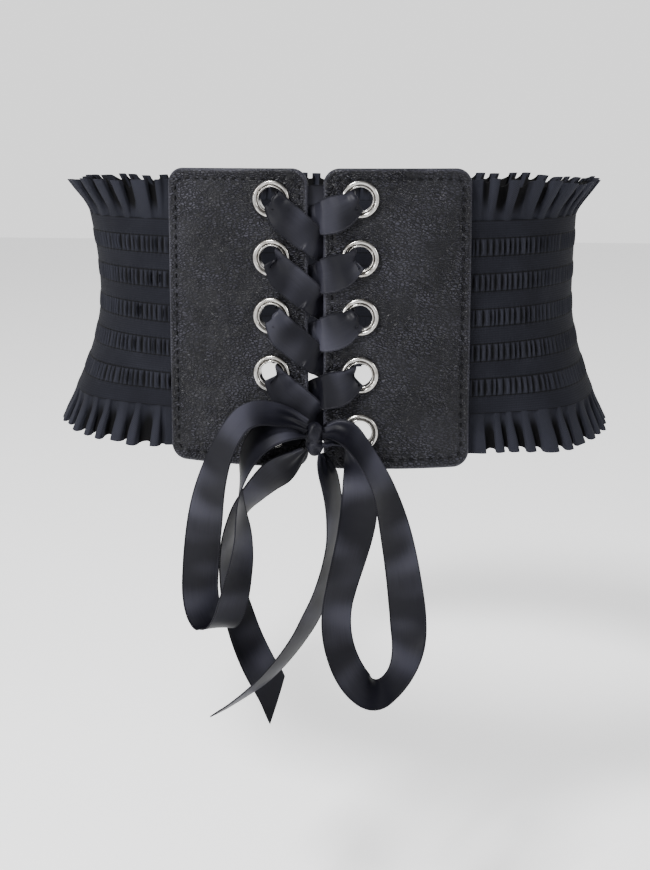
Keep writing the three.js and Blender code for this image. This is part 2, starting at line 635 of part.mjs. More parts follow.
function buildBelt() {
  const belt = new THREE.Group();
  belt.add(finish("left_panel", makePanel(-1), LEATHER));
  belt.add(finish("right_panel", makePanel(1), LEATHER));
  belt.add(finish("elastic_band", makeBand(), ELASTIC));
  belt.add(finish("upper_ruffle", makeRuffle(1), ELASTIC));
  belt.add(finish("lower_ruffle", makeRuffle(-1), ELASTIC));
  eyeletHeights.forEach((height, i) => {
    belt.add(finish(`eyelet_left_${i + 1}`, makeEyelet(-1, height), METAL));
    belt.add(finish(`eyelet_right_${i + 1}`, makeEyelet(1, height), METAL));
  });
  belt.add(finish("lace", makeLace(), SATIN));
  belt.add(finish("bow_knot", makeKnot(), SATIN));
  belt.add(finish("bow_left_loop", makeFreeRibbon(LEFT_LOOP), SATIN));
  belt.add(finish("bow_right_loop", makeFreeRibbon(RIGHT_LOOP), SATIN));
  belt.add(finish("bow_left_tail", makeFreeRibbon(LEFT_TAIL, TAIL_CUT), SATIN));
  belt.add(finish("bow_right_tail", makeFreeRibbon(RIGHT_TAIL, TAIL_CUT), SATIN));
  return belt;
}

export default buildBelt();
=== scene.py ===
"""Looks of a laced corset belt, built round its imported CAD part.

Metres, +Z up. The front faces -Y and +X is to the right of the front view.
"""
import logging
import math
from dataclasses import dataclass
from enum import Enum
from typing import Any, NamedTuple, Sequence, Union

import bpy
import numpy as np
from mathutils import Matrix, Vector


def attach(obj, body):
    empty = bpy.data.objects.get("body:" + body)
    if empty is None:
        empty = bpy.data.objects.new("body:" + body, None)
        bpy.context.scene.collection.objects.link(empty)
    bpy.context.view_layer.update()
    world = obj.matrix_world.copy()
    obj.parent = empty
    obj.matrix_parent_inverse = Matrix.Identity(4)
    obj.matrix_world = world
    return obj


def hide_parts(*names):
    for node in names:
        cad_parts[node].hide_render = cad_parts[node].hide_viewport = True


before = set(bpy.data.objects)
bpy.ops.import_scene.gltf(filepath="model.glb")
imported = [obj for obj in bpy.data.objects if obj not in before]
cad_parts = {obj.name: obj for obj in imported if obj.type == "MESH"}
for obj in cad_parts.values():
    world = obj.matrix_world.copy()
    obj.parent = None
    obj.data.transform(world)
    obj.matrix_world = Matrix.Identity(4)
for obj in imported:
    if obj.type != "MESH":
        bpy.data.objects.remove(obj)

LOG = logging.getLogger("belt")
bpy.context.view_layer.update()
Array = np.ndarray
Material = bpy.types.Material
Object = bpy.types.Object
Socket = bpy.types.NodeSocket
Triple = tuple[float, float, float]
BODY = "root"
MM = 0.001
SHARP_ANGLE = math.radians(50)


# ---------------------------------------------------------------- node trees


class Value:
    """A socket that carries a number, with Python's operators as Math nodes."""

    def __init__(self, tree: "Tree", socket: Socket) -> None:
        """Keeps the socket and the tree it belongs to."""
        self.tree = tree
        self.socket = socket

    def _math(self, operation: str, *others: "Number") -> "Value":
        """Adds one Math node of this value and the others."""
        inputs = {0: self}
        inputs.update({i + 1: other for i, other in enumerate(others)})
        return self.tree.value("ShaderNodeMath", {"operation": operation}, inputs)

    def __add__(self, other: "Number") -> "Value":
        """Sum."""
        return self._math("ADD", other)

    __radd__ = __add__

    def __sub__(self, other: "Number") -> "Value":
        """Difference."""
        return self._math("SUBTRACT", other)

    def __rsub__(self, other: "Number") -> "Value":
        """Difference, the other way round."""
        return self._math("MULTIPLY", -1.0)._math("ADD", other)

    def __mul__(self, other: "Number") -> "Value":
        """Product."""
        return self._math("MULTIPLY", other)

    __rmul__ = __mul__

    def __truediv__(self, other: "Number") -> "Value":
        """Quotient."""
        return self._math("DIVIDE", other)

    def __pow__(self, other: "Number") -> "Value":
        """Power."""
        return self._math("POWER", other)

    def sine(self) -> "Value":
        """Sine of an angle in radians."""
        return self._math("SINE")

    def size(self) -> "Value":
        """Value without its sign."""
        return self._math("ABSOLUTE")

    def least(self, other: "Number") -> "Value":
        """The smaller of two values."""
        return self._math("MINIMUM", other)

    def ramp(self, low: float, high: float, start: float = 0.0, end: float = 1.0) -> "Value":
        """Smooth step from start at low to end at high.

        Args:
            low: value where the step begins.
            high: value where the step ends.
            start: result below the step.
            end: result above the step.

        Returns:
            The stepped value.
        """
        inputs = {"Value": self, "From Min": low, "From Max": high, "To Min": start, "To Max": end}
        return self.tree.value("ShaderNodeMapRange", {"interpolation_type": "SMOOTHSTEP"}, inputs)


Number = Union[Value, float]


class Tree:
    """Builds the nodes of one shader or geometry tree."""

    def __init__(self, tree: bpy.types.NodeTree) -> None:
        """Keeps the tree that nodes are added to."""
        self.tree = tree

    def node(self, kind: str, settings: dict[str, Any] | None = None,
             inputs: dict[Any, Any] | None = None) -> bpy.types.Node:
        """Adds a node, sets it up, and then fills or links its sockets.

        Args:
            kind: the node's type.
            settings: its properties.
            inputs: socket name or number to a value, a Value or a socket.

        Returns:
            The new node.
        """
        node = self.tree.nodes.new(kind)
        for name, setting in (settings or {}).items():
            setattr(node, name, setting)
        for name, given in (inputs or {}).items():
            self.fill(node.inputs[name], given)
        return node

    def fill(self, socket: Socket, given: Any) -> None:
        """Links a socket to a Value or another socket, or sets its own value."""
        if isinstance(given, Value):
            given = given.socket
        if isinstance(given, Socket):
            self.tree.links.new(given, socket)
        else:
            socket.default_value = given

    def value(self, kind: str, settings: dict[str, Any] | None = None,
              inputs: dict[Any, Any] | None = None, output: Any = 0) -> Value:
        """Adds a node and returns one of its outputs as a Value."""
        return Value(self, self.node(kind, settings, inputs).outputs[output])

    def mix(self, share: Number, first: Any, second: Any) -> Socket:
        """Mixes two colours or sockets, with share saying how much of the second."""
        def colour(given: Any) -> Any:
            return (*given, 1.0) if isinstance(given, tuple) else given

        inputs = {0: share, 6: colour(first), 7: colour(second)}
        return self.node("ShaderNodeMix", {"data_type": "RGBA"}, inputs).outputs[2]

    def noise(self, place: Socket, scale: float, detail: float = 3.0,
              roughness: float = 0.5) -> Value:
        """Noise from 0 to 1 on a place, with the scale per metre."""
        inputs = {"Vector": place, "Scale": scale, "Detail": detail, "Roughness": roughness}
        return self.value("ShaderNodeTexNoise", None, inputs)

    def bump(self, height: Value, depth: float, under: Socket | None = None,
             strength: float = 1.0) -> Socket:
        """Turns a height from 0 to 1 into a normal.

        Args:
            height: the height.
            depth: what a height of 1 stands for, in metres.
            under: the normal of a coarser bump that this one lies on.
            strength: how strongly it shows.

        Returns:
            The normal's socket.
        """
        inputs: dict[Any, Any] = {"Height": height, "Distance": depth, "Strength": strength}
        if under is not None:
            inputs["Normal"] = under
        return self.node("ShaderNodeBump", None, inputs).outputs["Normal"]


class Finish:
    """Base of the finishes: an empty material with a principled shader."""

    name: str

    def start(self) -> tuple[Material, Tree, bpy.types.Node]:
        """Makes the material, its tree and its principled shader."""
        material = bpy.data.materials.new(self.name)
        material.use_nodes = True
        tree = Tree(material.node_tree)
        return material, tree, material.node_tree.nodes["Principled BSDF"]

    @staticmethod
    def feed(tree: Tree, shader: bpy.types.Node, **sockets: Any) -> None:
        """Links or sets the shader's sockets, named with underscores for spaces."""
        for name, given in sockets.items():
            tree.fill(shader.inputs[name.replace("_", " ")],
                      (*given, 1.0) if isinstance(given, tuple) else given)

    @staticmethod
    def place(tree: Tree) -> Socket:
        """Object coordinates."""
        return tree.node("ShaderNodeTexCoord").outputs["Object"]

    @staticmethod
    def cloth_place(tree: Tree) -> tuple[Socket, Value, Value]:
        """The piece's cloth coordinates in metres: together, along it and across it."""
        spot = tree.node("ShaderNodeUVMap", {"uv_map": CLOTH_MAP}).outputs["UV"]
        parts = tree.node("ShaderNodeSeparateXYZ", None, {0: spot})
        return spot, Value(tree, parts.outputs[0]), Value(tree, parts.outputs[1])

    @staticmethod
    def share(tree: Tree, name: str) -> Value:
        """A number stored on the piece's points under a name."""
        return tree.value("ShaderNodeAttribute", {"attribute_name": name}, None, "Fac")


CLOTH_MAP = "Cloth"
EDGE_SHARE = "edge_share"
FOLD_SHARE = "fold_share"
CREST = "crest"


@dataclass(frozen=True)
class Leather(Finish):
    """Coated black leather with a pebbled grain and soft creases; its colour carries painted
    highlights and painted shade.
    """

    name: str = "leather"
    colour: Triple = (0.0050, 0.0050, 0.0072)
    # Lighter colour: painted highlight on the grain tops, in broad patches and along the rim, where
    # it is also edge wear.
    highlight_and_wear: Triple = (0.031, 0.0308, 0.040)
    pebble: float = 1.05 * MM
    pebble_depth: float = 0.62 * MM
    crease: float = 16 * MM
    crease_depth: float = 0.9 * MM
    # Near-black colour of painted shade in the grain's crevices.
    crevice_shade: Triple = (0.003, 0.003, 0.0035)

    def build(self) -> Material:
        """Makes the material."""
        material, tree, shader = self.start()
        place = self.place(tree)
        warp = tree.node("ShaderNodeTexNoise", None, {
            "Vector": place, "Scale": 0.2 / self.pebble}).outputs["Color"]
        bent = tree.node("ShaderNodeVectorMath", {"operation": "MULTIPLY_ADD"}, {
            0: warp, 1: (2.6 * self.pebble,) * 3, 2: place}).outputs[0]
        long = tree.node("ShaderNodeMapping", None, {
            "Vector": bent, "Scale": (0.5, 0.5, 1.05)}).outputs[0]
        cells = tree.value("ShaderNodeTexVoronoi", {"feature": "DISTANCE_TO_EDGE"},
                           {"Vector": long, "Scale": 1 / self.pebble})
        tight = tree.noise(place, 70.0, 2.0, 0.5).ramp(0.35, 0.65, 0.35, 1.0)
        pebbles = cells.ramp(0.0, 0.3) * tight
        folds = (tree.noise(place, 0.55 / self.crease, 2.0, 0.4) - 0.5).size().ramp(0.0, 0.055)
        broad = tree.noise(place, 0.6 / self.crease, 2.0, 0.5).ramp(0.3, 0.7)
        fine = tree.noise(place, 5 / self.pebble, 2.0, 0.6)
        edge = self.share(tree, EDGE_SHARE)
        grain = pebbles * (1 - edge * 0.55)
        normal = tree.bump(broad, 0.8 * self.crease_depth)
        normal = tree.bump(folds, self.crease_depth, normal, 0.35)
        normal = tree.bump(grain, self.pebble_depth, normal)
        normal = tree.bump(fine, 0.05 * self.pebble_depth, normal)
        # Painted highlight: the colour lightens on the pebbles' tops, in broad patches and at the
        # rim, which also stands for edge wear.
        highlight_and_wear_share = edge * 0.28 + pebbles * 0.42 + broad * 0.3
        colour = tree.mix(highlight_and_wear_share.ramp(0.1, 0.8), self.colour, self.highlight_and_wear)
        # Painted shade: the colour darkens in the crevices between the pebbles, except at the rim.
        crevice_shaded = tree.mix(cells.ramp(0.0, 0.22, 0.75, 0.0) * (1 - edge), colour, self.crevice_shade)
        rough = 0.36 + broad * 0.14 - pebbles * 0.05
        self.feed(tree, shader, Base_Color=crevice_shaded, Roughness=rough, Normal=normal,
                  Specular_IOR_Level=0.15)
        return material


@dataclass(frozen=True)
class EyeletMetal(Finish):
    """Nickel silver, slightly tarnished and scuffed."""

    name: str = "eyelet_metal"
    bright: Triple = (0.42, 0.41, 0.395)
    dull: Triple = (0.17, 0.15, 0.13)

    def build(self) -> Material:
        """Makes the material."""
        material, tree, shader = self.start()
        place = self.place(tree)
        tarnish = tree.noise(place, 260.0, 4.0, 0.6)
        scuffs = tree.noise(place, 2600.0, 2.0, 0.5)
        colour = tree.mix(tarnish.ramp(0.42, 0.72, 0.0, 0.75), self.bright, self.dull)
        normal = tree.bump(scuffs, 0.01 * MM, tree.bump(tarnish, 0.05 * MM))
        self.feed(tree, shader, Base_Color=colour, Metallic=1.0, Normal=normal,
                  Roughness=0.14 + tarnish * 0.2)
        return material


class Weave(Enum):
    """How a cloth is woven."""

    TWILL = "twill"
    RIBBED = "ribbed"


@dataclass(frozen=True)
class Cloth(Finish):
    """Matt black cloth, its threads laid on the piece's own cloth map; its colour carries painted
    highlights and painted shade.
    """

    name: str = "cloth"
    weave: Weave = Weave.TWILL
    colour: Triple = (0.0040, 0.0042, 0.0066)
    # Lighter colour: painted highlight on the weave and on the gathers' crests, with broad random
    # tone.
    highlight_and_tone: Triple = (0.0150, 0.0157, 0.0220)
    thread: float = 0.9 * MM
    depth: float = 0.16 * MM
    row: float = 97 / 11 * MM
    # Near-black colour of painted shade in the gathers' valleys and in the seams between rows.
    valley_shade: Triple = (0.0012, 0.0012, 0.0016)

    def build(self) -> Material:
        """Makes the material."""
        material, tree, shader = self.start()
        spot, along, across = self.cloth_place(tree)
        place = self.place(tree)
        turn = math.tau / self.thread
        gathered = self.share(tree, FOLD_SHARE)
        crest = self.share(tree, CREST)
        seam: Number = 0.0
        sway = tree.noise(spot, 220.0, 2.0) * 1.6
        if self.weave is Weave.TWILL:
            lines = ((along + across) * turn + sway).sine() * 0.5 + 0.5
            cross = ((along - across * 0.4) * (turn * 1.7)).sine() * 0.5 + 0.5
            height = lines * 0.7 + cross * 0.3
        else:
            tape = (across * turn + sway * 0.4).sine() * 0.5 + 0.5
            picks = (along * (turn * 1.35) + sway).sine() * 0.5 + 0.5
            fold = ((along + across * 0.12) * (turn * 1.2) + sway * 2.0).sine() * 0.5 + 0.5
            height = ((tape * 0.25 + picks * 0.2) * (1 - gathered)
                      + (fold * 0.3 + picks * 0.2) * gathered)
            # Painted shade along the recessed seams between the rows.
            from_seam = (across * (math.pi / self.row) + math.pi / 2).sine().size()
            seam = from_seam.ramp(0.03, 0.17, 1.0, 0.0)
        fuzz = tree.noise(place, 2400.0, 2.0, 0.7)
        broad = tree.noise(place, 45.0, 3.0)
        normal = tree.bump(broad, 0.6 * MM, None, 0.6)
        normal = tree.bump(height, self.depth, normal)
        normal = tree.bump(fuzz, 0.05 * MM, normal)
        # Painted highlight on the weave's threads and the gathers' crests, mixed with broad random
        # tone.
        lit = (height * 0.55 + broad * 0.45 + gathered * crest * 0.3).ramp(0.2, 0.85)
        colour = tree.mix(lit, self.colour, self.highlight_and_tone)
        # Painted shade in the gathers' valleys and the seams between rows.
        deep = crest.ramp(0.28, 0.8, 1.0, 0.0)
        colour = tree.mix((deep + seam).least(1.0), colour, self.valley_shade)
        self.feed(tree, shader, Base_Color=colour, Normal=normal, Roughness=0.78 + fuzz * 0.14,
                  Specular_IOR_Level=0.1)
        return material


@dataclass(frozen=True)
class Satin(Finish):
    """Black satin ribbon: smooth face, fine weft, stitched edges and soft creases; painted sheen
    streaks lighten its colour.
    """

    name: str = "satin"
    colour: Triple = (0.0035, 0.0035, 0.0058)
    # Colour of the painted sheen streaks along the ribbon.
    glow: Triple = (0.030, 0.030, 0.041)
    half_width: float = 9 * MM
    edge: float = 0.9 * MM
    weft: float = 0.55 * MM
    edge_pitch: float = 1.1 * MM

    def build(self) -> Material:
        """Makes the material."""
        material, tree, shader = self.start()
        spot, along, across = self.cloth_place(tree)
        place = self.place(tree)
        rim = across.size().ramp(self.half_width - self.edge, self.half_width - 0.5 * self.edge)
        sway = tree.noise(spot, 300.0, 2.0)
        weft = (along * (math.tau / self.weft) + sway * 2.0).sine() * 0.5 + 0.5
        warp = self.streaks(tree, spot, 60.0, 1500.0, 2.0, 0.6)
        stitch = (along * (math.tau / self.edge_pitch)).sine() * 0.5 + 0.5
        soft = self.streaks(tree, spot, 42.0, 24.0, 1.0, 0.4)
        normal = tree.bump(soft, 3.0 * MM, None, 0.8)
        normal = tree.bump(weft * 0.4 + warp * 0.6, 0.012 * MM, normal)
        normal = tree.bump(rim * (0.4 + stitch * 0.6), 0.22 * MM, normal)
        # Painted sheen: soft streaks along the ribbon lighten the colour, less at the stitched
        # edges.
        lit = (soft * 0.93 + warp * 0.07).ramp(0.42, 0.74) * (1 - rim * 0.6)
        colour = tree.mix(lit, self.colour, self.glow)
        rough = 0.4 + soft * 0.1 + rim * 0.2 + tree.noise(place, 500.0) * 0.05
        self.feed(tree, shader, Base_Color=colour, Normal=normal, Roughness=rough,
                  Specular_IOR_Level=0.12)
        return material

    @staticmethod
    def streaks(tree: Tree, spot: Socket, along: float, across: float, detail: float,
                roughness: float) -> Value:
        """Noise stretched on the ribbon, with its scales per metre along and across it."""
        stretched = tree.node("ShaderNodeMapping", None, {
            "Vector": spot, "Scale": (along, across, 1.0)}).outputs[0]
        return tree.noise(stretched, 1.0, detail, roughness)


@dataclass(frozen=True)
class Thread(Finish):
    """Twisted sewing thread."""

    name: str = "thread"
    colour: Triple = (0.004, 0.004, 0.005)
    shade: Triple = (0.0015, 0.0015, 0.002)

    def build(self) -> Material:
        """Makes the material."""
        material, tree, shader = self.start()
        place = self.place(tree)
        fibres = tree.noise(place, 2200.0, 2.0, 0.6)
        colour = tree.mix(fibres.ramp(0.3, 0.7), self.shade, self.colour)
        self.feed(tree, shader, Base_Color=colour, Roughness=0.6 + fibres * 0.2,
                  Normal=tree.bump(fibres, 0.08 * MM), Specular_IOR_Level=0.1)
        return material


@dataclass(frozen=True)
class Paper(Finish):
    """Plain white studio paper."""

    name: str = "paper"
    glow: float = 0.85

    def build(self) -> Material:
        """Makes the material."""
        material, tree, shader = self.start()
        self.feed(tree, shader, Base_Color=(0.92, 0.92, 0.93), Roughness=0.9,
                  Emission_Color=(1.0, 1.0, 1.0), Emission_Strength=self.glow)
        return material


# ---------------------------------------------------------------- mesh work


def bell(value: Array, middle: float, width: float) -> Array:
    """A bump of height 1 at a middle, falling to 1/e at a width from it."""
    return np.exp(-(((value - middle) / width) ** 2))


def smoothstep(value: Array, low: float, high: float) -> Array:
    """Smooth step from 0 at low to 1 at high."""
    share = np.clip((value - low) / (high - low), 0.0, 1.0)
    return share * share * (3 - 2 * share)


def spread(low: float, high: float, pitch: float) -> Array:
    """Evenly spaced values from low to high, about a pitch apart."""
    return np.linspace(low, high, max(2, round((high - low) / pitch) + 1))


def flow(rows: Array, steps: int) -> Array:
    """A smooth run through rows of numbers, as a Catmull-Rom curve.

    Args:
        rows: one row for each place that the run passes.
        steps: parts that each gap between rows is cut into.

    Returns:
        The finer rows.
    """
    ends = np.vstack([2 * rows[0] - rows[1], rows, 2 * rows[-1] - rows[-2]])
    before, start, end, after = ends[:-3], ends[1:-2], ends[2:-1], ends[3:]
    share = (np.arange(steps) / steps)[None, :, None]
    before, start, end, after = (part[:, None, :] for part in (before, start, end, after))
    run = 0.5 * (2 * start + (end - before) * share
                 + (2 * before - 5 * start + 4 * end - after) * share**2
                 + (3 * start - before - 3 * end + after) * share**3)
    return np.vstack([run.reshape(-1, rows.shape[1]), rows[-1:]])


def walk(points: Array) -> Array:
    """Distance walked along a run of points, at each of them."""
    return np.concatenate([[0.0], np.cumsum(np.linalg.norm(np.diff(points, axis=0), axis=1))])


def add_object(name: str, data: Any) -> Object:
    """Makes an object of some data and links it to the scene."""
    obj = bpy.data.objects.new(name, data)
    bpy.context.scene.collection.objects.link(obj)
    return obj


def unit(vectors: Array) -> Array:
    """Vectors brought to length 1."""
    return vectors / np.maximum(np.linalg.norm(vectors, axis=-1, keepdims=True), 1e-12)


def shell_faces(rows: int, columns: int, keep: Array | None = None) -> Array:
    """Faces of a closed wall between two grids of the same size, front first.

    Args:
        rows: rows of each grid.
        columns: columns of each grid.
        keep: which of the grid's squares are there, all if None.

    Returns:
        Four point numbers for each face.
    """
    number = np.arange(rows * columns).reshape(rows, columns)
    squares = np.stack([number[:-1, :-1], number[:-1, 1:], number[1:, 1:], number[1:, :-1]], -1)
    front = squares.reshape(-1, 4) if keep is None else squares[keep]
    edges = np.concatenate([front[:, [i, (i + 1) % 4]] for i in range(4)])
    count = rows * columns
    lone = ~np.isin(edges[:, 0] * count + edges[:, 1], edges[:, 1] * count + edges[:, 0])
    start, end = edges[lone].T
    walls = np.stack([end, start, start + count, end + count], -1)
    return np.vstack([front, front[:, ::-1] + count, walls])


def build_mesh(name: str, points: Array, faces: Array, cloth: Array | None = None,
               marks: dict[str, Array] | None = None) -> Object:
    """Makes an object from points and four-sided faces, facing outwards.

    Args:
        name: the piece's name.
        points: one place for each point.
        faces: four point numbers for each face.
        cloth: each point's cloth coordinates, in metres.
        marks: numbers or vectors to store on the points, by name.

    Returns:
        The object, linked to the scene.
    """
    used, compact = np.unique(faces, return_inverse=True)
    faces = compact.reshape(-1, 4)
    points = points.reshape(-1, 3)[used]
    corner = points[faces]
    first = np.einsum("ij,ij->i", corner[:, 0], np.cross(corner[:, 1], corner[:, 2]))
    second = np.einsum("ij,ij->i", corner[:, 0], np.cross(corner[:, 2], corner[:, 3]))
    if (first + second).sum() < 0:
        faces = faces[:, ::-1]
    mesh = bpy.data.meshes.new(name)
    mesh.from_pydata(points.tolist(), [], faces.tolist())
    if cloth is not None:
        layer = mesh.uv_layers.new(name=CLOTH_MAP)
        layer.data.foreach_set("uv", cloth.reshape(-1, 2)[used][faces.ravel()].ravel())
    for label, values in (marks or {}).items():
        vector = values.ndim > 3
        store = mesh.attributes.new(label, "FLOAT_VECTOR" if vector else "FLOAT", "POINT")
        kept = values.reshape(-1, 3 if vector else 1)[used]
        store.data.foreach_set("vector" if vector else "value", kept.astype(np.float32).ravel())
    mesh.shade_smooth()
    mesh.set_sharp_from_angle(angle=SHARP_ANGLE)
    return add_object(name, mesh)


def build_shell(name: str, front: Array, back: Array, cloth: Array, *, keep: Array | None = None,
                shares: dict[str, Array] | None = None,
                vectors: dict[str, Array] | None = None) -> Object:
    """Makes a closed wall between two grids of places.

    Args:
        name: the piece's name.
        front: the outer face's places.
        back: the inner face's places.
        cloth: cloth coordinates of both faces.
        keep: which of the grid's squares are there, all if None.
        shares: numbers to store, one grid for both faces or one for each.
        vectors: vectors to store, one grid for both faces.

    Returns:
        The object, linked to the scene.
    """
    grid = front.shape[:2]
    marks = {label: np.broadcast_to(values, (2, *grid)) for label, values in (shares or {}).items()}
    for label, values in (vectors or {}).items():
        marks[label] = np.broadcast_to(values, (2, *grid, 3))
    return build_mesh(name, np.stack([front, back]), shell_faces(*grid, keep),
                      np.stack([cloth, cloth]), marks)


def settle(obj: Object, material: Material, nodes: Sequence[str] = ()) -> None:
    """Dresses a finished piece and ties it to the belt.

    Args:
        obj: the piece.
        material: its finish.
        nodes: CAD nodes that it stands for.
    """
    obj.data.materials.clear()
    obj.data.materials.append(material)
    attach(obj, BODY)
    if nodes:
        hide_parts(*nodes)
    LOG.info("%s: %d faces", obj.name, len(obj.data.polygons))


# ---------------------------------------------------------------- geometry node rules


class NodeRule:
    """A geometry node tree with named inputs, run once on an object."""

    def __init__(self, name: str, *numbers: str) -> None:
        """Starts a tree with these number inputs and one for the finish."""
        self.group = bpy.data.node_groups.new(name, "GeometryNodeTree")
        face = self.group.interface
        face.new_socket("Geometry", in_out="INPUT", socket_type="NodeSocketGeometry")
        kinds = {**dict.fromkeys(numbers, "NodeSocketFloat"), "Finish": "NodeSocketMaterial"}
        self.sockets = {label: face.new_socket(label, in_out="INPUT", socket_type=kind).identifier
                        for label, kind in kinds.items()}
        face.new_socket("Geometry", in_out="OUTPUT", socket_type="NodeSocketGeometry")
        self.tree = Tree(self.group)
        self.given = self.tree.node("NodeGroupInput")

    def number(self, label: str) -> Value:
        """One of the tree's inputs as a value."""
        return Value(self.tree, self.given.outputs[label])

    def close(self, geometry: Socket) -> None:
        """Ends the tree: real instances, and the finish."""
        solid = self.tree.node("GeometryNodeRealizeInstances", None, {"Geometry": geometry})
        dressed = self.tree.node("GeometryNodeSetMaterial", None, {
            "Geometry": solid.outputs[0], "Material": self.given.outputs["Finish"]})
        self.tree.node("NodeGroupOutput", None, {"Geometry": dressed.outputs[0]})

    def run(self, obj: Object, values: dict[str, Any]) -> Object:
        """Runs the tree on an object and keeps the result as its plain mesh.

        Args:
            obj: the object, whose mesh is replaced.
            values: a value for each named input.

        Returns:
            The same object.
        """
        modifier = obj.modifiers.new(self.group.name, "NODES")
        modifier.node_group = self.group
        for label, value in values.items():
            modifier[self.sockets[label]] = value
        graph = bpy.context.evaluated_depsgraph_get()
        made = bpy.data.meshes.new_from_object(obj.evaluated_get(graph))
        made.name = obj.name
        obj.modifiers.remove(modifier)
        obj.data = made
        return obj


class StitchRule(NodeRule):
    """Sewing stitches along a line of points."""

    def __init__(self) -> None:
        """Builds the tree."""
        super().__init__("stitches", "Pitch", "Length", "Radius")
        tree = self.tree
        line = tree.node("GeometryNodeMeshToCurve", None, {"Mesh": self.given.outputs["Geometry"]})
        even = tree.node("GeometryNodeResampleCurve", {"mode": "LENGTH"}, {
            "Curve": line.outputs[0], "Length": self.number("Pitch")})
        bead = tree.node("GeometryNodeMeshUVSphere", None, {
            "Segments": 8, "Rings": 6, "Radius": 1.0})
        smooth = tree.node("GeometryNodeSetShadeSmooth", None, {"Geometry": bead.outputs["Mesh"]})
        radius, half = self.number("Radius"), self.number("Length") * 0.5
        size = tree.node("ShaderNodeCombineXYZ", None, {"X": radius, "Y": radius, "Z": half})
        along = tree.node("GeometryNodeInputTangent")
        turn = tree.node("FunctionNodeAlignRotationToVector", {"axis": "Z"}, {
            "Vector": along.outputs[0]})
        laid = tree.node("GeometryNodeInstanceOnPoints", None, {
            "Points": even.outputs[0], "Instance": smooth.outputs[0],
            "Rotation": turn.outputs[0], "Scale": size.outputs[0]})
        self.close(laid.outputs[0])

    def sew(self, name: str, line: Array, pitch: float, length: float, radius: float,
            finish: Material) -> Object:
        """Sews along a closed line.

        Args:
            name: the piece's name.
            line: the line's points; the last joins the first.
            pitch: from one stitch to the next.
            length: of one stitch.
            radius: of the thread.
            finish: the thread's finish.

        Returns:
            The stitches as one mesh.
        """
        count = len(line)
        mesh = bpy.data.meshes.new(name)
        mesh.from_pydata(line.tolist(), [(i, (i + 1) % count) for i in range(count)], [])
        return self.run(add_object(name, mesh), {
            "Pitch": pitch, "Length": length, "Radius": radius, "Finish": finish})


class Gather(NamedTuple):
    """How a cloth is gathered.

    Attributes:
        pitch: from one gather to the next.
        depth: from the bottom of a gather to its top.
        puff: how far the gathered cloth stands out as a whole.
        lap: how far cloth is drawn along: to the crests, or when negative to the valleys.
        dip: how far the edge sinks between two gathers.
        unevenness: 0 for a machine's pleats, 1 for loose ones.
        seed: picks the unevenness.
    """

    pitch: float
    depth: float
    puff: float
    lap: float
    dip: float
    unevenness: float
    seed: float


class FoldRule(NodeRule):
    """Gathers in a cloth: moves its points out and in by their distance along it."""

    AROUND = "around"
    ROW = "row"
    OUTWARD = "outward"
    ALONG = "along"

    def __init__(self) -> None:
        """Builds the tree."""
        super().__init__("gathers", *(label.capitalize() for label in Gather._fields))
        tree = self.tree

        def stored(label: str, kind: str) -> Socket:
            return tree.node("GeometryNodeInputNamedAttribute", {"data_type": kind},
                             {"Name": label}).outputs["Attribute"]

        around = Value(tree, stored(self.AROUND, "FLOAT"))
        share = Value(tree, stored(FOLD_SHARE, "FLOAT"))
        row = Value(tree, stored(self.ROW, "FLOAT"))
        pitch = self.number("Pitch")
        spot = tree.node("ShaderNodeCombineXYZ", None, {
            "X": around / pitch * 0.45, "Y": row * 7.3, "Z": self.number("Seed")}).outputs[0]
        drift = tree.noise(spot, 1.0, 2.0)
        height = tree.noise(spot, 2.3, 1.0)
        uneven = self.number("Unevenness")
        turns = around / pitch + (drift - 0.5) * uneven * 2.4 + row * 0.37
        phase = turns * math.tau
        swell = 1 + (height - 0.5) * uneven * 1.6
        wave = (phase.sine() * 0.5 + 0.5) ** 0.75
        out = (wave * self.number("Depth") * swell + self.number("Puff")) * share
        lap = (phase * 2.0).sine() * self.number("Lap") * share * swell
        sunk = (1 - wave) ** 2.0 * share * share * self.number("Dip") * -1.0
        total = tree.node("ShaderNodeCombineXYZ", None, {"Z": sunk})
        for label, much in ((self.OUTWARD, out), (self.ALONG, lap)):
            move = tree.node("ShaderNodeVectorMath", {"operation": "SCALE"}, {
                0: stored(label, "FLOAT_VECTOR"), "Scale": much})
            total = tree.node("ShaderNodeVectorMath", {"operation": "ADD"}, {
                0: total.outputs[0], 1: move.outputs[0]})
        # The crest share also steers the cloth's painted highlights and painted shade.
        marked = tree.node("GeometryNodeStoreNamedAttribute", {"data_type": "FLOAT"}, {
            "Geometry": self.given.outputs["Geometry"], "Name": CREST,
            "Value": 1 - share * (1 - wave)})
        moved = tree.node("GeometryNodeSetPosition", None, {
            "Geometry": marked.outputs[0], "Offset": total.outputs[0]})
        self.close(moved.outputs[0])

    @classmethod
    def cloth(cls, name: str, waist: "Waist", grids: tuple[Array, Array, Array], around: Array,
              share: Array, row: Array) -> Object:
        """Makes a smooth wall of cloth that carries what the rule reads.

        Args:
            name: the piece's name.
            waist: what it goes round.
            grids: the outer places, the inner places and the cloth coordinates.
            around: distance round the waist.
            share: how much of the gathering each point takes.
            row: number of the row that each point is in.

        Returns:
            The cloth, not yet gathered.
        """
        _, outward = waist.spot(around)
        along = np.stack([-outward[..., 1], outward[..., 0], np.zeros_like(around)], -1)
        shares = {FOLD_SHARE: share, cls.AROUND: around, cls.ROW: row}
        return build_shell(name, *grids, shares=shares,
                           vectors={cls.OUTWARD: outward, cls.ALONG: along})

    def gather(self, obj: Object, gather: Gather, finish: Material) -> None:
        """Gathers a cloth that was made by cloth()."""
        numbers = {label.capitalize(): number for label, number in gather._asdict().items()}
        self.run(obj, {**numbers, "Finish": finish})


# ---------------------------------------------------------------- the belt's shape


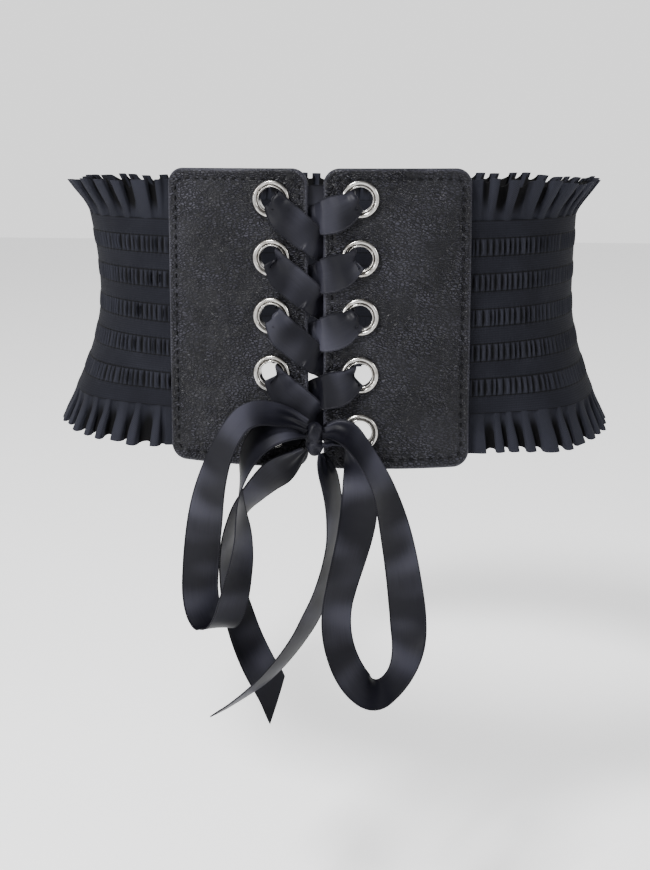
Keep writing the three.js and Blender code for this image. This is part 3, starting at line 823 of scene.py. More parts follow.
@dataclass
class Waist:
    """The rounded oval that the belt follows, and how the cloth stands out from it."""

    half_width: float = 131.5 * MM
    half_depth: float = 98.5 * MM
    squareness: float = 2.4
    line_height: float = 4 * MM
    band_height: float = 97 * MM
    panel_edge: float = 75.3 * MM
    flare_reach: float = 60 * MM
    top_flare: tuple[float, float] = (5 * MM, 1.5 * MM)
    bottom_flare: tuple[float, float] = (14 * MM, 12.5 * MM)
    steps: int = 1440

    def __post_init__(self) -> None:
        """Walks round the oval once."""
        angle = np.linspace(0.0, math.tau, self.steps + 1)
        across = np.abs(np.sin(angle)) / self.half_width
        along = np.abs(np.cos(angle)) / self.half_depth
        radius = (across**self.squareness + along**self.squareness) ** (-1 / self.squareness)
        self._x = radius * np.sin(angle)
        self._y = -radius * np.cos(angle)
        walked = np.cumsum(np.hypot(np.diff(self._x), np.diff(self._y)))
        self._walked = np.concatenate([[0.0], walked])
        self.girth = float(self._walked[-1])

    def spot(self, distance: Array) -> tuple[Array, Array]:
        """A place on the oval.

        Args:
            distance: walked from the front's middle, to the right when positive.

        Returns:
            The places and the outward directions, flat on the ground.
        """
        at = np.mod(distance, self.girth)
        x = np.interp(at, self._walked, self._x)
        y = np.interp(at, self._walked, self._y)
        power = self.squareness - 1
        nx = np.sign(x) * (np.abs(x) / self.half_width) ** power / self.half_width
        ny = np.sign(y) * (np.abs(y) / self.half_depth) ** power / self.half_depth
        flat = np.zeros_like(x)
        return np.stack([x, y, flat], -1), unit(np.stack([nx, ny, flat], -1))

    def past_panel(self, distance: Array) -> Array:
        """Distance round the waist from the nearer panel's outer edge."""
        along = np.mod(distance, self.girth)
        return np.minimum(along, self.girth - along) - self.panel_edge

    def flare(self, distance: Array, height: Array, x: Array) -> Array:
        """How far the cloth stands out at a height, more on the left than on the right."""
        rising = height > self.line_height
        seam = np.where(rising, self.band_height / 2, -self.band_height / 2)
        share = np.clip((height - self.line_height) / (seam - self.line_height), 0.0, 1.0) ** 1.8
        rightness = smoothstep(x, -self.half_width, self.half_width)
        top = self.top_flare[0] + (self.top_flare[1] - self.top_flare[0]) * rightness
        bottom = self.bottom_flare[0] + (self.bottom_flare[1] - self.bottom_flare[0]) * rightness
        reach = smoothstep(self.past_panel(distance), 0.0, self.flare_reach)
        return reach * share * np.where(rising, top, bottom)

    def place(self, distance: Array, out: Array, height: Array) -> Array:
        """A place on the belt.

        Args:
            distance: walked round the waist.
            out: distance out from the oval.
            height: above the middle.

        Returns:
            The places.
        """
        distance, out, height = np.broadcast_arrays(*map(np.asarray, (distance, out, height)))
        spot, outward = self.spot(distance)
        stand = out + self.flare(distance, height, spot[..., 0])
        place = spot + outward * stand[..., None]
        place[..., 2] = height
        return place


@dataclass
class Panel:
    """One stiff leather front panel with a rolled rim, eyelet holes and a sewn border."""

    side: int
    waist: Waist
    height: float = 149 * MM
    width: float = 71.6 * MM
    wall: float = 2.4 * MM
    radius: float = 8 * MM
    stand_off: float = 3 * MM
    rim: float = 3 * MM
    rim_rise: float = 0.5 * MM
    gap: float = 7.4 * MM
    eyelet_inset: float = 17.8 * MM
    eyelet_pitch: float = 28.8 * MM
    eyelet_raise: float = 2 * MM
    eyelet_count: int = 5
    hole: float = 7.2 * MM
    grid: float = 1.0 * MM
    seam_inset: float = 4.3 * MM
    seam_end_inset: float = 5.2 * MM
    seam_pitch: float = 5 * MM
    stitch: float = 2.5 * MM
    thread: float = 0.5 * MM

    @property
    def label(self) -> str:
        """The side's name."""
        return "left" if self.side < 0 else "right"

    @property
    def eyelet_heights(self) -> list[float]:
        """Centre heights of the eyelets, from the top down."""
        middle = (self.eyelet_count - 1) / 2
        return [(middle - i) * self.eyelet_pitch + self.eyelet_raise
                for i in range(self.eyelet_count)]

    def inset(self, across: Array, height: Array) -> Array:
        """Distance in from the rounded outline."""
        x = np.abs(across - self.width / 2) - (self.width / 2 - self.radius)
        z = np.abs(height) - (self.height / 2 - self.radius)
        corner = np.hypot(np.maximum(x, 0), np.maximum(z, 0))
        return self.radius - corner - np.minimum(np.maximum(x, z), 0)

    def front(self, across: Array, height: Array) -> Array:
        """Height of the front face over the back one."""
        inset = np.maximum(self.inset(across, height), 0.0)
        turn = np.clip(1 - inset / (self.wall / 2), 0.0, 1.0)
        base = self.wall / 2 * (1 + np.sqrt(1 - turn**2))
        rolled = self.rim_rise * np.sin(np.pi * np.clip(inset / self.rim, 0, 1)) ** 0.8
        seam = bell(inset, self.seam_inset + 0.2 * MM, 0.75 * MM)
        pucker = 0.6 + 0.4 * np.cos((height + across) * math.tau / self.seam_pitch)
        field = smoothstep(inset, 4 * MM, 14 * MM)
        swell = 0.22 * MM * (np.sin(height * 92 + across * 31 + self.side)
                             * np.sin(across * 118 - height * 23))
        bank = bell(inset, self.seam_inset + 1.5 * MM, 0.8 * MM)
        rise = base + rolled + (0.3 * bank - 0.5 * seam) * MM * pucker + field * swell
        for centre in self.eyelet_heights:
            reach = np.hypot(across - self.eyelet_inset, height - centre)
            rise = rise - 0.3 * MM * bell(reach, 10.2 * MM, 1.3 * MM)
            below = smoothstep(centre - height, 0.0, 6 * MM)
            ripple = np.sin(reach * 1500) * bell(reach, 13 * MM, 2.4 * MM)
            rise = rise + 0.16 * MM * below * ripple
        return rise

    def plate(self) -> Object:
        """The leather, on a grid that follows the rounded corners and is fine at the rim."""
        edges = np.array([0, 0.12, 0.3, 0.55, 0.85, 1.2, 1.6, 2.1, 2.6, 3.0, 3.5, 4.0, 4.5, 5.0,
                          6.0]) * MM
        inner = spread(7 * MM, self.width - 7 * MM, self.grid)
        across = np.concatenate([edges, inner, self.width - edges[::-1]])
        high = spread(7 * MM, self.height - 7 * MM, self.grid)
        levels = np.concatenate([edges, high, self.height - edges[::-1]]) - self.height / 2
        from_corner = self.radius - np.minimum(across, self.width - across)
        rounded = self.radius - np.sqrt(np.maximum(self.radius**2 - from_corner**2, 0))
        drop = np.where(from_corner > 0, rounded, 0)
        top = self.height / 2 - drop
        across, height = np.meshgrid(across, levels)
        height = height / (self.height / 2) * top[None, :]
        distance = self.side * (self.gap / 2 + across)
        inset = np.maximum(self.inset(across, height), 0.0)
        turn = np.clip(1 - inset / (self.wall / 2), 0.0, 1.0)
        back = self.wall / 2 * (1 - np.sqrt(1 - turn**2)) + 0.02 * MM * (inset <= 0)
        front = self.front(across, height) + 0.04 * MM * (inset <= 0)
        outer = self.waist.place(distance, self.stand_off + front, height)
        inner_face = self.waist.place(distance, self.stand_off + back, height)
        middle_x = (across[:-1, :-1] + across[1:, 1:]) / 2
        middle_z = (height[:-1, :-1] + height[1:, 1:]) / 2
        keep = np.ones(middle_x.shape, bool)
        for centre in self.eyelet_heights:
            keep &= np.hypot(middle_x - self.eyelet_inset, middle_z - centre) > self.hole
        edge = 1 - smoothstep(inset, 0.7 * MM, 2.0 * MM)
        return build_shell(f"{self.label}_panel_leather", outer, inner_face,
                           np.stack([across, height], -1), keep=keep, shares={EDGE_SHARE: edge})

    def seam_line(self) -> Array:
        """The line of the border's stitches, just over the leather."""
        x, z = self.width / 2 - self.seam_inset, self.height / 2 - self.seam_end_inset
        bend = self.radius - self.seam_inset + 1.2 * MM
        points = []
        for corner, (sx, sz) in enumerate(((1, 1), (-1, 1), (-1, -1), (1, -1))):
            start = corner * math.pi / 2
            for angle in np.linspace(start, start + math.pi / 2, 9):
                points.append((sx * (x - bend) + bend * math.cos(angle),
                               sz * (z - bend) + bend * math.sin(angle)))
        points = np.array(points + points[:1])
        walked = walk(points)
        at = np.linspace(0, walked[-1], 500)[:-1]
        across = np.interp(at, walked, points[:, 0]) + self.width / 2
        height = np.interp(at, walked, points[:, 1])
        out = self.stand_off + self.front(across, height) + 0.2 * MM
        return self.waist.place(self.side * (self.gap / 2 + across), out, height)

    def build(self, leather: Material, thread: Material, rule: StitchRule) -> None:
        """Makes the panel and its stitches.

        Args:
            leather: the panel's finish.
            thread: the stitches' finish.
            rule: sews the stitches.
        """
        settle(self.plate(), leather, [f"{self.label}_panel"])
        seam = rule.sew(f"{self.label}_panel_stitches", self.seam_line(), self.seam_pitch,
                        self.stitch, self.thread, thread)
        settle(seam, thread)


@dataclass
class Eyelet:
    """One rolled metal eyelet set through a panel."""

    panel: Panel
    number: int
    hole: float = 5.9 * MM
    outer: float = 9.3 * MM
    back_outer: float = 8.6 * MM
    metal: float = 0.8 * MM
    rise: float = 1.4 * MM
    sides: int = 80

    def profile(self) -> list[tuple[float, float]]:
        """Radius and height points round the ring's section, front side up."""
        skin = self.panel.wall + 0.3 * MM
        top = skin + self.rise
        barrel = self.hole + self.metal
        points = [(self.hole, -0.9 * MM), (self.back_outer - 0.5 * MM, -1.0 * MM),
                  (self.back_outer, -0.75 * MM), (self.back_outer - 0.2 * MM, -0.5 * MM),
                  (barrel, -0.45 * MM), (barrel, skin - 0.1 * MM),
                  (self.outer - 0.4 * MM, skin - 0.15 * MM)]
        arcs = ((self.outer - 1.2 * MM, 0.0, 1.2 * MM, 1.4 * MM, -15, 172),
                (self.hole + 0.45 * MM, 0.45 * MM, 0.45 * MM, 0.75 * MM, 20, 180))
        for centre, drop, across, tall, first, last in arcs:
            for angle in np.radians(np.linspace(first, last, 14)):
                points.append((centre + across * math.cos(angle),
                               top - drop - tall + tall * math.sin(angle)))
        return points + [(self.hole, top - 1.7 * MM)]

    def build(self, metal: Material) -> None:
        """Makes the eyelet."""
        section = np.array(self.profile())
        turn = np.linspace(0, math.tau, self.sides + 1)[:-1]
        height = self.panel.eyelet_heights[self.number - 1]
        distance = np.array(self.panel.side * (self.panel.gap / 2 + self.panel.eyelet_inset))
        middle = self.panel.waist.place(distance, self.panel.stand_off, height)
        _, outward = self.panel.waist.spot(distance)
        sideways = np.array([-outward[1], outward[0], 0.0])
        upward = np.array([0.0, 0.0, 1.0])
        ring = np.cos(turn)[:, None] * sideways + np.sin(turn)[:, None] * upward
        points = (middle + ring[:, None, :] * section[None, :, :1]
                  + outward * section[None, :, 1:])
        count = len(section)
        number = np.arange(self.sides * count).reshape(self.sides, count)
        after, up = np.roll(number, -1, 0), np.roll(number, -1, 1)
        both = np.roll(up, -1, 0)
        faces = np.stack([number, after, both, up], -1).reshape(-1, 4)
        name = f"eyelet_{self.panel.label}_{self.number}"
        settle(build_mesh(f"{name}_ring", points, faces), metal, [name])


TAPE_STEPS = (0.03, 0.35, 0.65, 0.97)
GATHER_STEPS = (0.05, 0.16, 0.36, 0.64, 0.84, 0.95)


@dataclass
class ElasticBand:
    """The shirred elastic: flat tapes with gathered rows between them."""

    waist: Waist
    wall: float = 1.6 * MM
    stand_off: float = 1 * MM
    tuck: float = 10 * MM
    tapes: int = 6
    pitch: float = 3.2 * MM
    depth: float = 1.5 * MM
    columns_per_gather: int = 6

    def build(self, cloth: Material, folds: FoldRule) -> Object:
        """Makes the band.

        Args:
            cloth: the band's finish.
            folds: gathers the rows.

        Returns:
            The band.
        """
        waist = self.waist
        start = waist.panel_edge - self.tuck
        length = waist.girth - 2 * start
        distance = start + spread(0, length, self.pitch / self.columns_per_gather)
        rows = self.tapes * 2 - 1
        shares: list[float] = []
        for row in range(rows):
            steps = GATHER_STEPS if row % 2 else TAPE_STEPS
            shares.extend(row + step for step in steps)
        level = np.array([0.0, *shares, float(rows)])
        inside = np.floor(np.clip(level, 0, rows - 1e-6))
        within = level - inside
        gathered = np.where(inside % 2 == 1, np.sin(np.pi * within) ** 0.3, 0.0)
        height = (level / rows - 0.5) * waist.band_height
        around, high = np.meshgrid(distance, height)
        past = waist.past_panel(around)
        opened = smoothstep(past, -1 * MM, 2.5 * MM)
        calm = smoothstep(past, 34 * MM, 64 * MM) * (1 - smoothstep(past, 120 * MM, 150 * MM))
        share = gathered[:, None] * opened * (1 - 0.55 * calm)
        outer = waist.place(around, self.stand_off + self.wall, high)
        inner = waist.place(around, self.stand_off, high)
        row_number = np.broadcast_to(inside[:, None], around.shape)
        grids = (outer, inner, np.stack([around, high], -1))
        band = folds.cloth("elastic_band_cloth", waist, grids, around,
                           np.stack([share, share * 0.25]), row_number)
        gather = Gather(self.pitch, self.depth, -0.5 * MM, 0.35 * MM, 0.0, 0.7, 4.0)
        folds.gather(band, gather, cloth)
        settle(band, cloth, ["elastic_band"])
        return band


@dataclass
class Ruffle:
    """A ruffle of gathered cloth that rises or falls from the band's edge."""

    waist: Waist
    up: int
    band: ElasticBand
    height: float = 20.5 * MM
    wall: float = 0.8 * MM
    lean_front: float = 3 * MM
    lean_side: float = 9 * MM
    pitch: float = 10.4 * MM
    depth: float = 5.2 * MM
    lap: float = -1.5 * MM
    dip: float = 4.0 * MM
    fullness: float = 1.7
    columns_per_gather: int = 18

    @property
    def label(self) -> str:
        """The ruffle's name."""
        return "upper_ruffle" if self.up > 0 else "lower_ruffle"

    def build(self, cloth: Material, folds: FoldRule, band: Object) -> None:
        """Makes the ruffle.

        Args:
            cloth: its finish.
            folds: gathers it.
            band: the elastic that it is sewn to; not used.
        """
        waist = self.waist
        start = waist.panel_edge - self.band.tuck
        length = waist.girth - 2 * start
        distance = start + spread(0, length, self.pitch / self.columns_per_gather)
        level = np.array([0.0, 0.05, 0.12, 0.22, 0.34, 0.46, 0.58, 0.7, 0.8, 0.88, 0.93, 0.97,
                          1.0])
        around, rise = np.meshgrid(distance, level)
        past = waist.past_panel(around)
        opened = smoothstep(past, 1 * MM, 12 * MM)
        lean = opened * (self.lean_front + (self.lean_side - self.lean_front)
                         * smoothstep(past, 0, waist.flare_reach))
        tall = np.sqrt(self.height**2 - lean**2)
        wander = 0.8 * MM * np.sin(around * 71 + self.up) + 0.5 * MM * np.sin(around * 173)
        seam = waist.band_height / 2
        high = self.up * (seam - 0.2 * MM + (tall + wander * rise * opened) * rise)
        out = self.band.stand_off + 0.35 * MM + lean * rise**1.4
        share = opened * (0.12 + 0.88 * smoothstep(rise, -0.15, 0.85))
        hem = 0.35 * MM * smoothstep(rise, 0.86, 0.9)
        outer = waist.place(around, out + self.wall + hem * 0.5, high)
        inner = waist.place(around, out - hem * 0.5, high)
        grids = (outer, inner, np.stack([around * self.fullness, high], -1))
        obj = folds.cloth(f"{self.label}_cloth", waist, grids, around, share, np.zeros_like(around))
        gather = Gather(self.pitch, self.depth, -0.45 * self.depth, self.lap, self.dip * self.up,
                        0.95, 9.0 + self.up)
        folds.gather(obj, gather, cloth)
        settle(obj, cloth, [self.label])


# ---------------------------------------------------------------- the ribbon


def bow_route(*rows: tuple[float, ...]) -> Array:
    """The places that a ribbon of the bow passes.

    Args:
        rows: x, y and z in tenths of a millimetre, the two angles in degrees that give the
            direction of the ribbon's width, and its visible width as a share of the full one.

    Returns:
        The rows, with the places in metres.
    """
    return np.array([(*(place / 10000 for place in row[:3]), *row[3:]) for row in rows])


LEFT_LOOP = bow_route(
    (-32, -1130, -505, -90, -60, 0.5), (-105, -1160, -460, -88, -60, 0.7),
    (-180, -1195, -433, -86, -62, 0.9), (-260, -1225, -423, -78, -62, 1),
    (-330, -1245, -450, -58, -56, 1), (-385, -1255, -520, -46, -50, 1),
    (-435, -1255, -620, -34, -44, 1), (-473, -1248, -730, -20, -35, 1),
    (-502, -1235, -840, -11, -23, 1), (-523, -1220, -950, -7, -10, 1),
    (-542, -1203, -1080, -4, 0, 1), (-557, -1185, -1220, -2, 6, 1),
    (-563, -1175, -1350, -4, 14, 1), (-545, -1180, -1450, -8, 26, 1),
    (-500, -1210, -1510, -14, 36, 1), (-445, -1260, -1495, -14, 40, 1),
    (-400, -1293, -1425, -8, 42, 1), (-370, -1303, -1330, 2, 44, 1),
    (-348, -1300, -1230, 5, 52, 1), (-332, -1285, -1130, 3, 62, 1), (-328, -1270, -1020, 2, 74, 1),
    (-340, -1258, -910, 2, 86, 1), (-342, -1250, -800, 0, 97, 1), (-325, -1250, -690, -4, 114, 1),
    (-285, -1248, -595, -14, 128, 1), (-223, -1235, -530, -34, 134, 1),
    (-150, -1205, -500, -58, 130, 0.95), (-90, -1170, -510, -78, 118, 0.75),
    (-44, -1140, -532, -88, 108, 0.5),
)

RIGHT_LOOP = bow_route(
    (52, -1130, -530, -90, -62, 0.5), (115, -1158, -510, -92, -62, 0.75),
    (175, -1188, -528, -102, -64, 0.95), (230, -1208, -580, -128, -68, 1),
    (285, -1218, -658, -142, -68, 1), (337, -1218, -760, -154, -63, 1),
    (377, -1210, -885, -166, -52, 1), (408, -1200, -1015, -174, -40, 1),
    (433, -1190, -1150, -176, -31, 1), (454, -1180, -1300, -174, -20, 1),
    (469, -1175, -1445, -176, -2, 1), (470, -1176, -1570, -177, 24, 1),
    (448, -1185, -1675, -182, 46, 1), (408, -1200, -1755, -200, 62, 1),
    (352, -1223, -1800, -240, 70, 1), (290, -1250, -1795, -290, 62, 1),
    (233, -1270, -1745, -308, 54, 1), (183, -1275, -1670, -322, 50, 1),
    (146, -1268, -1580, -335, 49, 1), (126, -1253, -1485, -345, 46, 1),
    (126, -1233, -1385, -353, 42, 1), (148, -1213, -1275, -358, 36, 1),
    (179, -1198, -1155, -358, 27, 1), (208, -1190, -1035, -357, 17, 1),
    (226, -1185, -915, -354, 2, 1), (228, -1182, -800, -352, -20, 1),
    (206, -1178, -695, -352, -46, 1), (164, -1165, -612, -366, -60, 0.9),
    (108, -1148, -573, -395, -64, 0.75), (58, -1133, -575, -412, -66, 0.5),
)

LEFT_TAIL = bow_route(
    (-46, -1125, -620, -72, 62, 0.5), (-110, -1125, -680, -68, 40, 0.85),
    (-175, -1120, -740, -62, 30, 1), (-248, -1100, -810, -63, 40, 1),
    (-315, -1080, -885, -66, 50, 1), (-373, -1065, -960, -66, 59, 1),
    (-418, -1055, -1050, -58, 68, 1), (-445, -1045, -1145, -25, 76, 1),
    (-450, -1035, -1240, 4, 73, 1), (-440, -1025, -1340, 10, 66, 1),
    (-420, -1020, -1445, 12, 57, 1), (-390, -1020, -1555, 10, 49, 1),
    (-350, -1025, -1670, 14, 44, 1), (-295, -1030, -1790, 24, 39, 1),
    (-240, -1035, -1885, 32, 38, 1), (-205, -1040, -1955, 36, 38, 1),
)

RIGHT_TAIL = bow_route(
    (36, -1125, -642, -60, 53, 0.5), (56, -1140, -690, -20, 61, 0.75), (80, -1158, -760, 5, 69, 1),
    (98, -1160, -850, 8, 70, 1), (106, -1150, -950, 2, 70, 1), (102, -1130, -1060, -8, 71, 1),
    (84, -1115, -1170, -10, 70, 1), (60, -1110, -1275, -20, 67, 1), (30, -1115, -1375, -30, 63, 1),
    (-10, -1130, -1470, -20, 60, 1), (-60, -1155, -1560, -10, 61, 1),
    (-125, -1185, -1650, -14, 62, 1), (-195, -1210, -1730, -20, 62, 1),
    (-265, -1230, -1795, -26, 63, 1), (-335, -1245, -1850, -28, 65, 1),
    (-395, -1255, -1890, -30, 67, 1),
)


@dataclass
class Ribbon:
    """A flat satin ribbon, cupped a little and pleated where it is drawn together."""

    width: float = 18 * MM
    wall: float = 0.5 * MM
    cup: float = 0.5 * MM
    pleat: float = 1.5 * MM
    pleats: float = 2.5
    lanes: int = 25
    edge_thickening: float = 1.25
    tail_reach: float = 20 * MM
    tail_shift: float = 0.1

    def mesh(self, name: str, centres: Array, across: Array, shares: Array,
             slant: float = 0.0, drawn: Array | None = None) -> Object:
        """Makes a ribbon along a run of places.

        Args:
            name: the piece's name.
            centres: middle of the ribbon at each place.
            across: direction of its width at each place.
            shares: visible width at each place, as a share of the full one.
            slant: how far the last end is cut aslant.
            drawn: how strongly each place is pleated, from its share if None.

        Returns:
            The ribbon.
        """
        along = unit(np.gradient(centres, axis=0))
        across = unit(across - along * np.einsum("ij,ij->i", across, along)[:, None])
        face = np.cross(along, across)
        lane = np.sin(np.linspace(-math.pi / 2, math.pi / 2, self.lanes)) * 0.5
        lane = 0.6 * lane + 0.4 * np.linspace(-0.5, 0.5, self.lanes)
        drawn = np.clip(1 - shares, 0.0, 1.0) if drawn is None else drawn
        cupped = self.cup * (1 - (2 * lane) ** 2)[None, :] * shares[:, None]
        folded = self.pleat * drawn[:, None] * np.cos(lane * math.tau * self.pleats)[None, :]
        out = cupped + folded
        walked = walk(centres)
        tail = smoothstep(walked, walked[-1] - self.tail_reach, walked[-1]) * slant
        shift = -lane + (self.tail_shift if slant else 0.0)
        base = (centres[:, None, :]
                + across[:, None, :] * (lane[None, :] * (self.width * shares)[:, None])[..., None]
                + along[:, None, :] * (shift[None, :] * tail[:, None])[..., None])
        thick = np.full(self.lanes, self.wall / 2)
        thick[[0, 1, -2, -1]] *= self.edge_thickening
        front = base + face[:, None, :] * (out + thick)[..., None]
        back = base + face[:, None, :] * (out - thick)[..., None]
        cloth = np.stack(np.meshgrid(walked, lane * self.width, indexing="ij"), -1)
        return build_shell(name, front, back, cloth)


class Part(Enum):
    """A free part of the bow: its name, its route, and where its far end goes."""

    LEFT_LOOP = ("bow_left_loop", LEFT_LOOP, "object")
    RIGHT_LOOP = ("bow_right_loop", RIGHT_LOOP, "object")
    LEFT_TAIL = ("bow_left_tail", LEFT_TAIL, "bare")
    RIGHT_TAIL = ("bow_right_tail", RIGHT_TAIL, "bare")


@dataclass
class Bow:
    """The knot, the two loops and the two tails of the ribbon."""

    ribbon: Ribbon
    knot_middle: Triple = (0.4 * MM, -112.5 * MM, -57 * MM)
    knot_size: Triple = (9.2 * MM, 9.2 * MM, 16.8 * MM)
    tail_cut: float = 16 * MM
    steps: int = 5

    def free_part(self, part: Part, satin: Material) -> None:
        """Makes one loop or tail, its far end cut aslant when bare."""
        node, route, far_end = part.value
        rows = flow(route, self.steps)
        centres = rows[:, :3]
        lean, turn = np.radians(rows[:, 3]), np.radians(rows[:, 4])
        across = np.stack([np.cos(turn) * np.cos(lean), np.sin(turn),
                           np.cos(turn) * np.sin(lean)], -1)
        slant = self.tail_cut if far_end == "bare" else 0.0
        obj = self.ribbon.mesh(f"{node}_ribbon", centres, across, rows[:, 5], slant)
        settle(obj, satin, [node])

    def knot(self, satin: Material) -> None:
        """Makes the knot: a lump of ribbon wrapped once round the others."""
        up, round_ = np.meshgrid(np.linspace(0.02, 0.98, 41) * math.pi,
                                 np.linspace(0, math.tau, 73)[:-1])
        slope = np.cos(up)
        crease = (0.13 * np.abs(np.sin(1.5 * round_ + 2.6 * slope)) ** 0.6
                  + 0.05 * np.sin(4 * round_ - 5.0 * slope))
        waisted = 1 - 0.16 * np.exp(-((slope + 0.12) / 0.13) ** 2)
        reach = np.sin(up) ** 0.75 * (0.9 + crease) * waisted
        size = np.array(self.knot_size) / 2
        spot = np.stack([np.cos(round_) * reach, np.sin(round_) * reach, slope], -1) * size
        points = spot + np.array(self.knot_middle)
        around, high = points.shape[:2]
        number = np.arange(around * high).reshape(around, high)
        after = np.roll(number, -1, 0)
        faces = np.stack([number[:, :-1], after[:, :-1], after[:, 1:], number[:, 1:]], -1)
        ends = []
        for column, step in ((0, 1), (high - 1, -1)):
            loop = number[:, column]
            for i in range(around // 2 - 1):
                square = [loop[i], loop[i + 1], loop[around - 2 - i], loop[around - 1 - i]]
                ends.append(square[::step])
        cloth = np.stack([round_ * 5 * MM, slope * 8 * MM], -1)
        obj = build_mesh("bow_knot_satin", points, np.vstack([faces.reshape(-1, 4), ends]), cloth)
        settle(obj, satin, ["bow_knot"])

    def build(self, satin: Material) -> None:
        """Makes the whole bow."""
        for part in Part:
            self.free_part(part, satin)
        self.knot(satin)


class LaceRow(NamedTuple):
    """A section of the lace, as shares of the eyelets' offset and pitch.

    level is 0 behind a panel, 1 over its rim and 2 over an eyelet. skew is how much further out
    the lower edge lies than the upper one.
    """

    across: float
    top: float
    bottom: float
    level: float
    skew: float = 0.0


@dataclass
class Lace:
    """The ribbon laced through all ten eyelets, in one run."""

    ribbon: Ribbon
    panel: Panel
    pinched: float = 8.4 * MM
    behind: float = 1.2 * MM
    over: float = 6.7 * MM
    high: float = 8.1 * MM
    steps: int = 6

    def __post_init__(self) -> None:
        """Fills the tables of the strands."""
        nip = self.pinched / 2 / self.panel.eyelet_pitch
        self.over_strand = [
            LaceRow(-0.82, -0.165, 0.2, 1.9, 0.16), LaceRow(-0.74, -0.1, 0.36, 2, 0.18),
            LaceRow(-0.6, 0.02, 0.555, 2.1, 0.18), LaceRow(-0.42, 0.155, 0.7, 1.5, 0.12),
            LaceRow(-0.2, 0.335, 0.87, 1, 0.03), LaceRow(-0.1, 0.43, 0.93, 0.92),
            LaceRow(-0.02, 0.55, 1, 0.72), LaceRow(0.05, 0.62, 1.03, 0.42),
            LaceRow(0.12, 0.68, 1.07, 0.16), LaceRow(0.22, 0.73, 1.1, 0.02),
            LaceRow(0.55, 0.82, 1.13, 0), LaceRow(0.84, 1 - nip, 1 + nip, 0),
        ]
        self.under_strand = [
            LaceRow(-0.82, -0.165, 0.19, 1.9, 0.15), LaceRow(-0.74, -0.145, 0.32, 2, 0.12),
            LaceRow(-0.58, -0.11, 0.48, 2.1, 0.06), LaceRow(-0.4, -0.06, 0.57, 1.4, 0.02),
            LaceRow(-0.22, -0.005, 0.6, 1), LaceRow(-0.15, 0.02, 0.6, 0.87),
            LaceRow(-0.09, 0.05, 0.57, 0.62), LaceRow(-0.03, 0.08, 0.585, 0.38),
            LaceRow(0.04, 0.115, 0.61, 0.22), LaceRow(0.11, 0.16, 0.655, 0.1),
            LaceRow(0.22, 0.23, 0.75, 0.02), LaceRow(0.55, 0.6, 0.98, 0),
            LaceRow(0.84, 1 - nip, 1 + nip, 0),
        ]
        self.top_bar = [LaceRow(x, top, low, 0) for x, top, low in (
            (-0.84, -nip, nip), (-0.5, -0.2, 0.13), (-0.2, -0.235, 0.12),
            (0.2, -0.235, 0.12), (0.5, -0.2, 0.13), (0.84, -nip, nip))]
        self.last_run = [
            LaceRow(-0.84, -nip, nip, 2), LaceRow(-0.69, -0.2, 0.24, 2),
            LaceRow(-0.5, -0.24, 0.24, 1.9), LaceRow(-0.34, -0.19, 0.15, 2.6),
            LaceRow(-0.235, -0.1, 0.14, 3.1), LaceRow(-0.11, -0.06, 0.11, 3.25),
        ]
        self.hole_turn = [LaceRow(-0.87, -nip, nip, 0.35), LaceRow(-0.86, -0.15, 0.17, 1.3, 0.1)]

    def section(self, side: int, height: float, row: LaceRow) -> list[float]:
        """One section of the lace.

        Returns:
            The upper edge's distance round the waist, the distance out, the heights of the
            upper and the lower edge, the lower edge's distance round, and the pleating.
        """
        level = row.level
        lift = float(np.interp(min(level, 1), (0, 1), (self.behind, self.over)))
        lift += (self.high - self.over) * max(level - 1, 0.0)
        offset = self.panel.gap / 2 + self.panel.eyelet_inset
        pitch = self.panel.eyelet_pitch
        folds = max(0.0, min(1.0, level - 0.9)) * max(0.0, 1 - (row.bottom - row.top) / 0.62)
        return [side * row.across * offset, lift, height - row.top * pitch,
                height - row.bottom * pitch, side * (row.across - row.skew) * offset, folds]

    def zigzag(self, first: int) -> list[list[float]]:
        """The sections of one zigzag, from the top pair of eyelets down."""
        sections = []
        heights = self.panel.eyelet_heights
        for i, height in enumerate(heights):
            side = first if i % 2 == 0 else -first
            strand = self.over_strand if side < 0 else self.under_strand
            rows = strand if i < len(heights) - 1 else self.last_run
            sections += [self.section(-side, height, row) for row in self.hole_turn + rows]
        return sections

    def build(self, satin: Material) -> None:
        """Makes the lace."""
        top = self.panel.eyelet_heights[0]
        bar = [self.section(1, top, row) for row in self.top_bar]
        rows = flow(np.array(self.zigzag(-1)[::-1] + bar + self.zigzag(1)), self.steps)
        upper = self.panel.waist.place(rows[:, 0], rows[:, 1], rows[:, 2])
        lower = self.panel.waist.place(rows[:, 4], rows[:, 1], rows[:, 3])
        width = np.linalg.norm(upper - lower, axis=1)
        obj = self.ribbon.mesh("lace_ribbon", (upper + lower) / 2, lower - upper,
                               width / self.ribbon.width, 0.0, rows[:, 5])
        settle(obj, satin, ["lace"])


# ---------------------------------------------------------------- the studio


@dataclass
class Lamp:
    """One soft light that points at the belt."""

    name: str
    place: Triple
    power: float
    size: float

    def build(self, target: Vector) -> None:
        """Makes the light."""
        data = bpy.data.lights.new(self.name, "AREA")
        data.energy, data.size = self.power, self.size
        lamp = add_object(self.name, data)
        lamp.location = self.place
        lamp.rotation_euler = (target - Vector(self.place)).to_track_quat("-Z", "Y").to_euler()


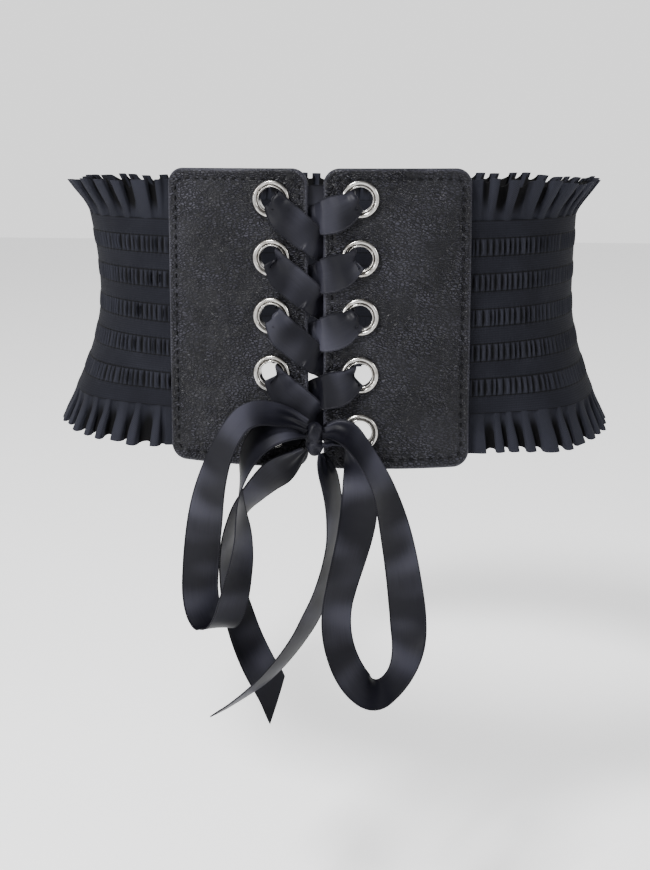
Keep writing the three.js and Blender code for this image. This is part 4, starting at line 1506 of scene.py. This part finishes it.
@dataclass
class Studio:
    """Pale floor, soft lights and the camera."""

    floor_height: float = -330 * MM
    floor_half: float = 4.0
    aim: Triple = (0.0, 0.0, -0.03)
    camera_place: Triple = (0.0601, -0.6367, 0.0876)
    camera_tilt: float = 6.5
    camera_yaw: float = 5.94
    lens: float = 45.77
    shift: float = -0.193
    sky_low: float = 1.5
    sky_high: float = 0.15
    lamps: tuple[Lamp, ...] = (
        Lamp("key", (-0.5, -0.85, 1.2), 40.0, 0.3),
        Lamp("front_left", (-0.95, -1.1, 0.3), 11.0, 0.25),
        Lamp("side", (1.35, -0.6, 0.6), 8.0, 0.35),
        Lamp("rear", (-0.3, 1.5, 1.5), 5.0, 0.8),
    )

    def camera(self) -> None:
        """Sets the camera as the photograph was taken."""
        data = bpy.data.cameras.new("camera")
        data.lens, data.shift_y, data.clip_start = self.lens, self.shift, 0.01
        camera = add_object("camera", data)
        camera.location = self.camera_place
        camera.rotation_euler = (math.radians(90 - self.camera_tilt), 0,
                                 math.radians(self.camera_yaw))
        bpy.context.scene.camera = camera

    def build(self, paper: Material) -> None:
        """Makes the floor, the lights and the sky."""
        half, low = self.floor_half, self.floor_height
        mesh = bpy.data.meshes.new("floor")
        corners = [(x * half, y * half, low) for x, y in ((-1, -1), (1, -1), (1, 1), (-1, 1))]
        mesh.from_pydata(corners, [], [(0, 1, 2, 3)])
        floor = add_object("floor", mesh)
        floor.data.materials.append(paper)
        for lamp in self.lamps:
            lamp.build(Vector(self.aim))
        world = bpy.data.worlds.new("studio")
        world.use_nodes = True
        tree = Tree(world.node_tree)
        looking = tree.node("ShaderNodeTexCoord").outputs["Generated"]
        way = tree.node("ShaderNodeSeparateXYZ", None, {0: looking})
        bright = Value(tree, way.outputs["Z"]).ramp(0.12, 0.62, self.sky_low, self.sky_high)
        background = world.node_tree.nodes["Background"]
        tree.fill(background.inputs["Strength"], bright)
        tree.fill(background.inputs["Color"], (1, 1, 1, 1))
        bpy.context.scene.world = world


def main() -> None:
    """Builds the belt, piece by piece."""
    logging.basicConfig(level=logging.INFO, format="%(name)s: %(message)s")
    studio = Studio()
    studio.camera()
    waist = Waist()
    ribbon = Ribbon()
    satin = Satin().build()
    Bow(ribbon).build(satin)
    leather, metal = Leather().build(), EyeletMetal().build()
    elastic = Cloth("elastic", Weave.RIBBED, thread=1.15 * MM).build()
    twill = Cloth("ruffle_cloth", Weave.TWILL).build()
    thread = Thread().build()
    stitches, folds = StitchRule(), FoldRule()
    panels = [Panel(side, waist) for side in (-1, 1)]
    for panel in panels:
        panel.build(leather, thread, stitches)
        for number in range(1, panel.eyelet_count + 1):
            Eyelet(panel, number).build(metal)
    band = ElasticBand(waist)
    cloth = band.build(elastic, folds)
    Ruffle(waist, 1, band).build(twill, folds, cloth)
    lower = Ruffle(waist, -1, band, lean_side=5.5 * MM, pitch=8.6 * MM, dip=1.8 * MM)
    lower.build(twill, folds, cloth)
    Lace(Ribbon(pleat=2.6 * MM, pleats=1.2), panels[0]).build(satin)
    studio.build(Paper().build())


if __name__ == "__main__":
    main()
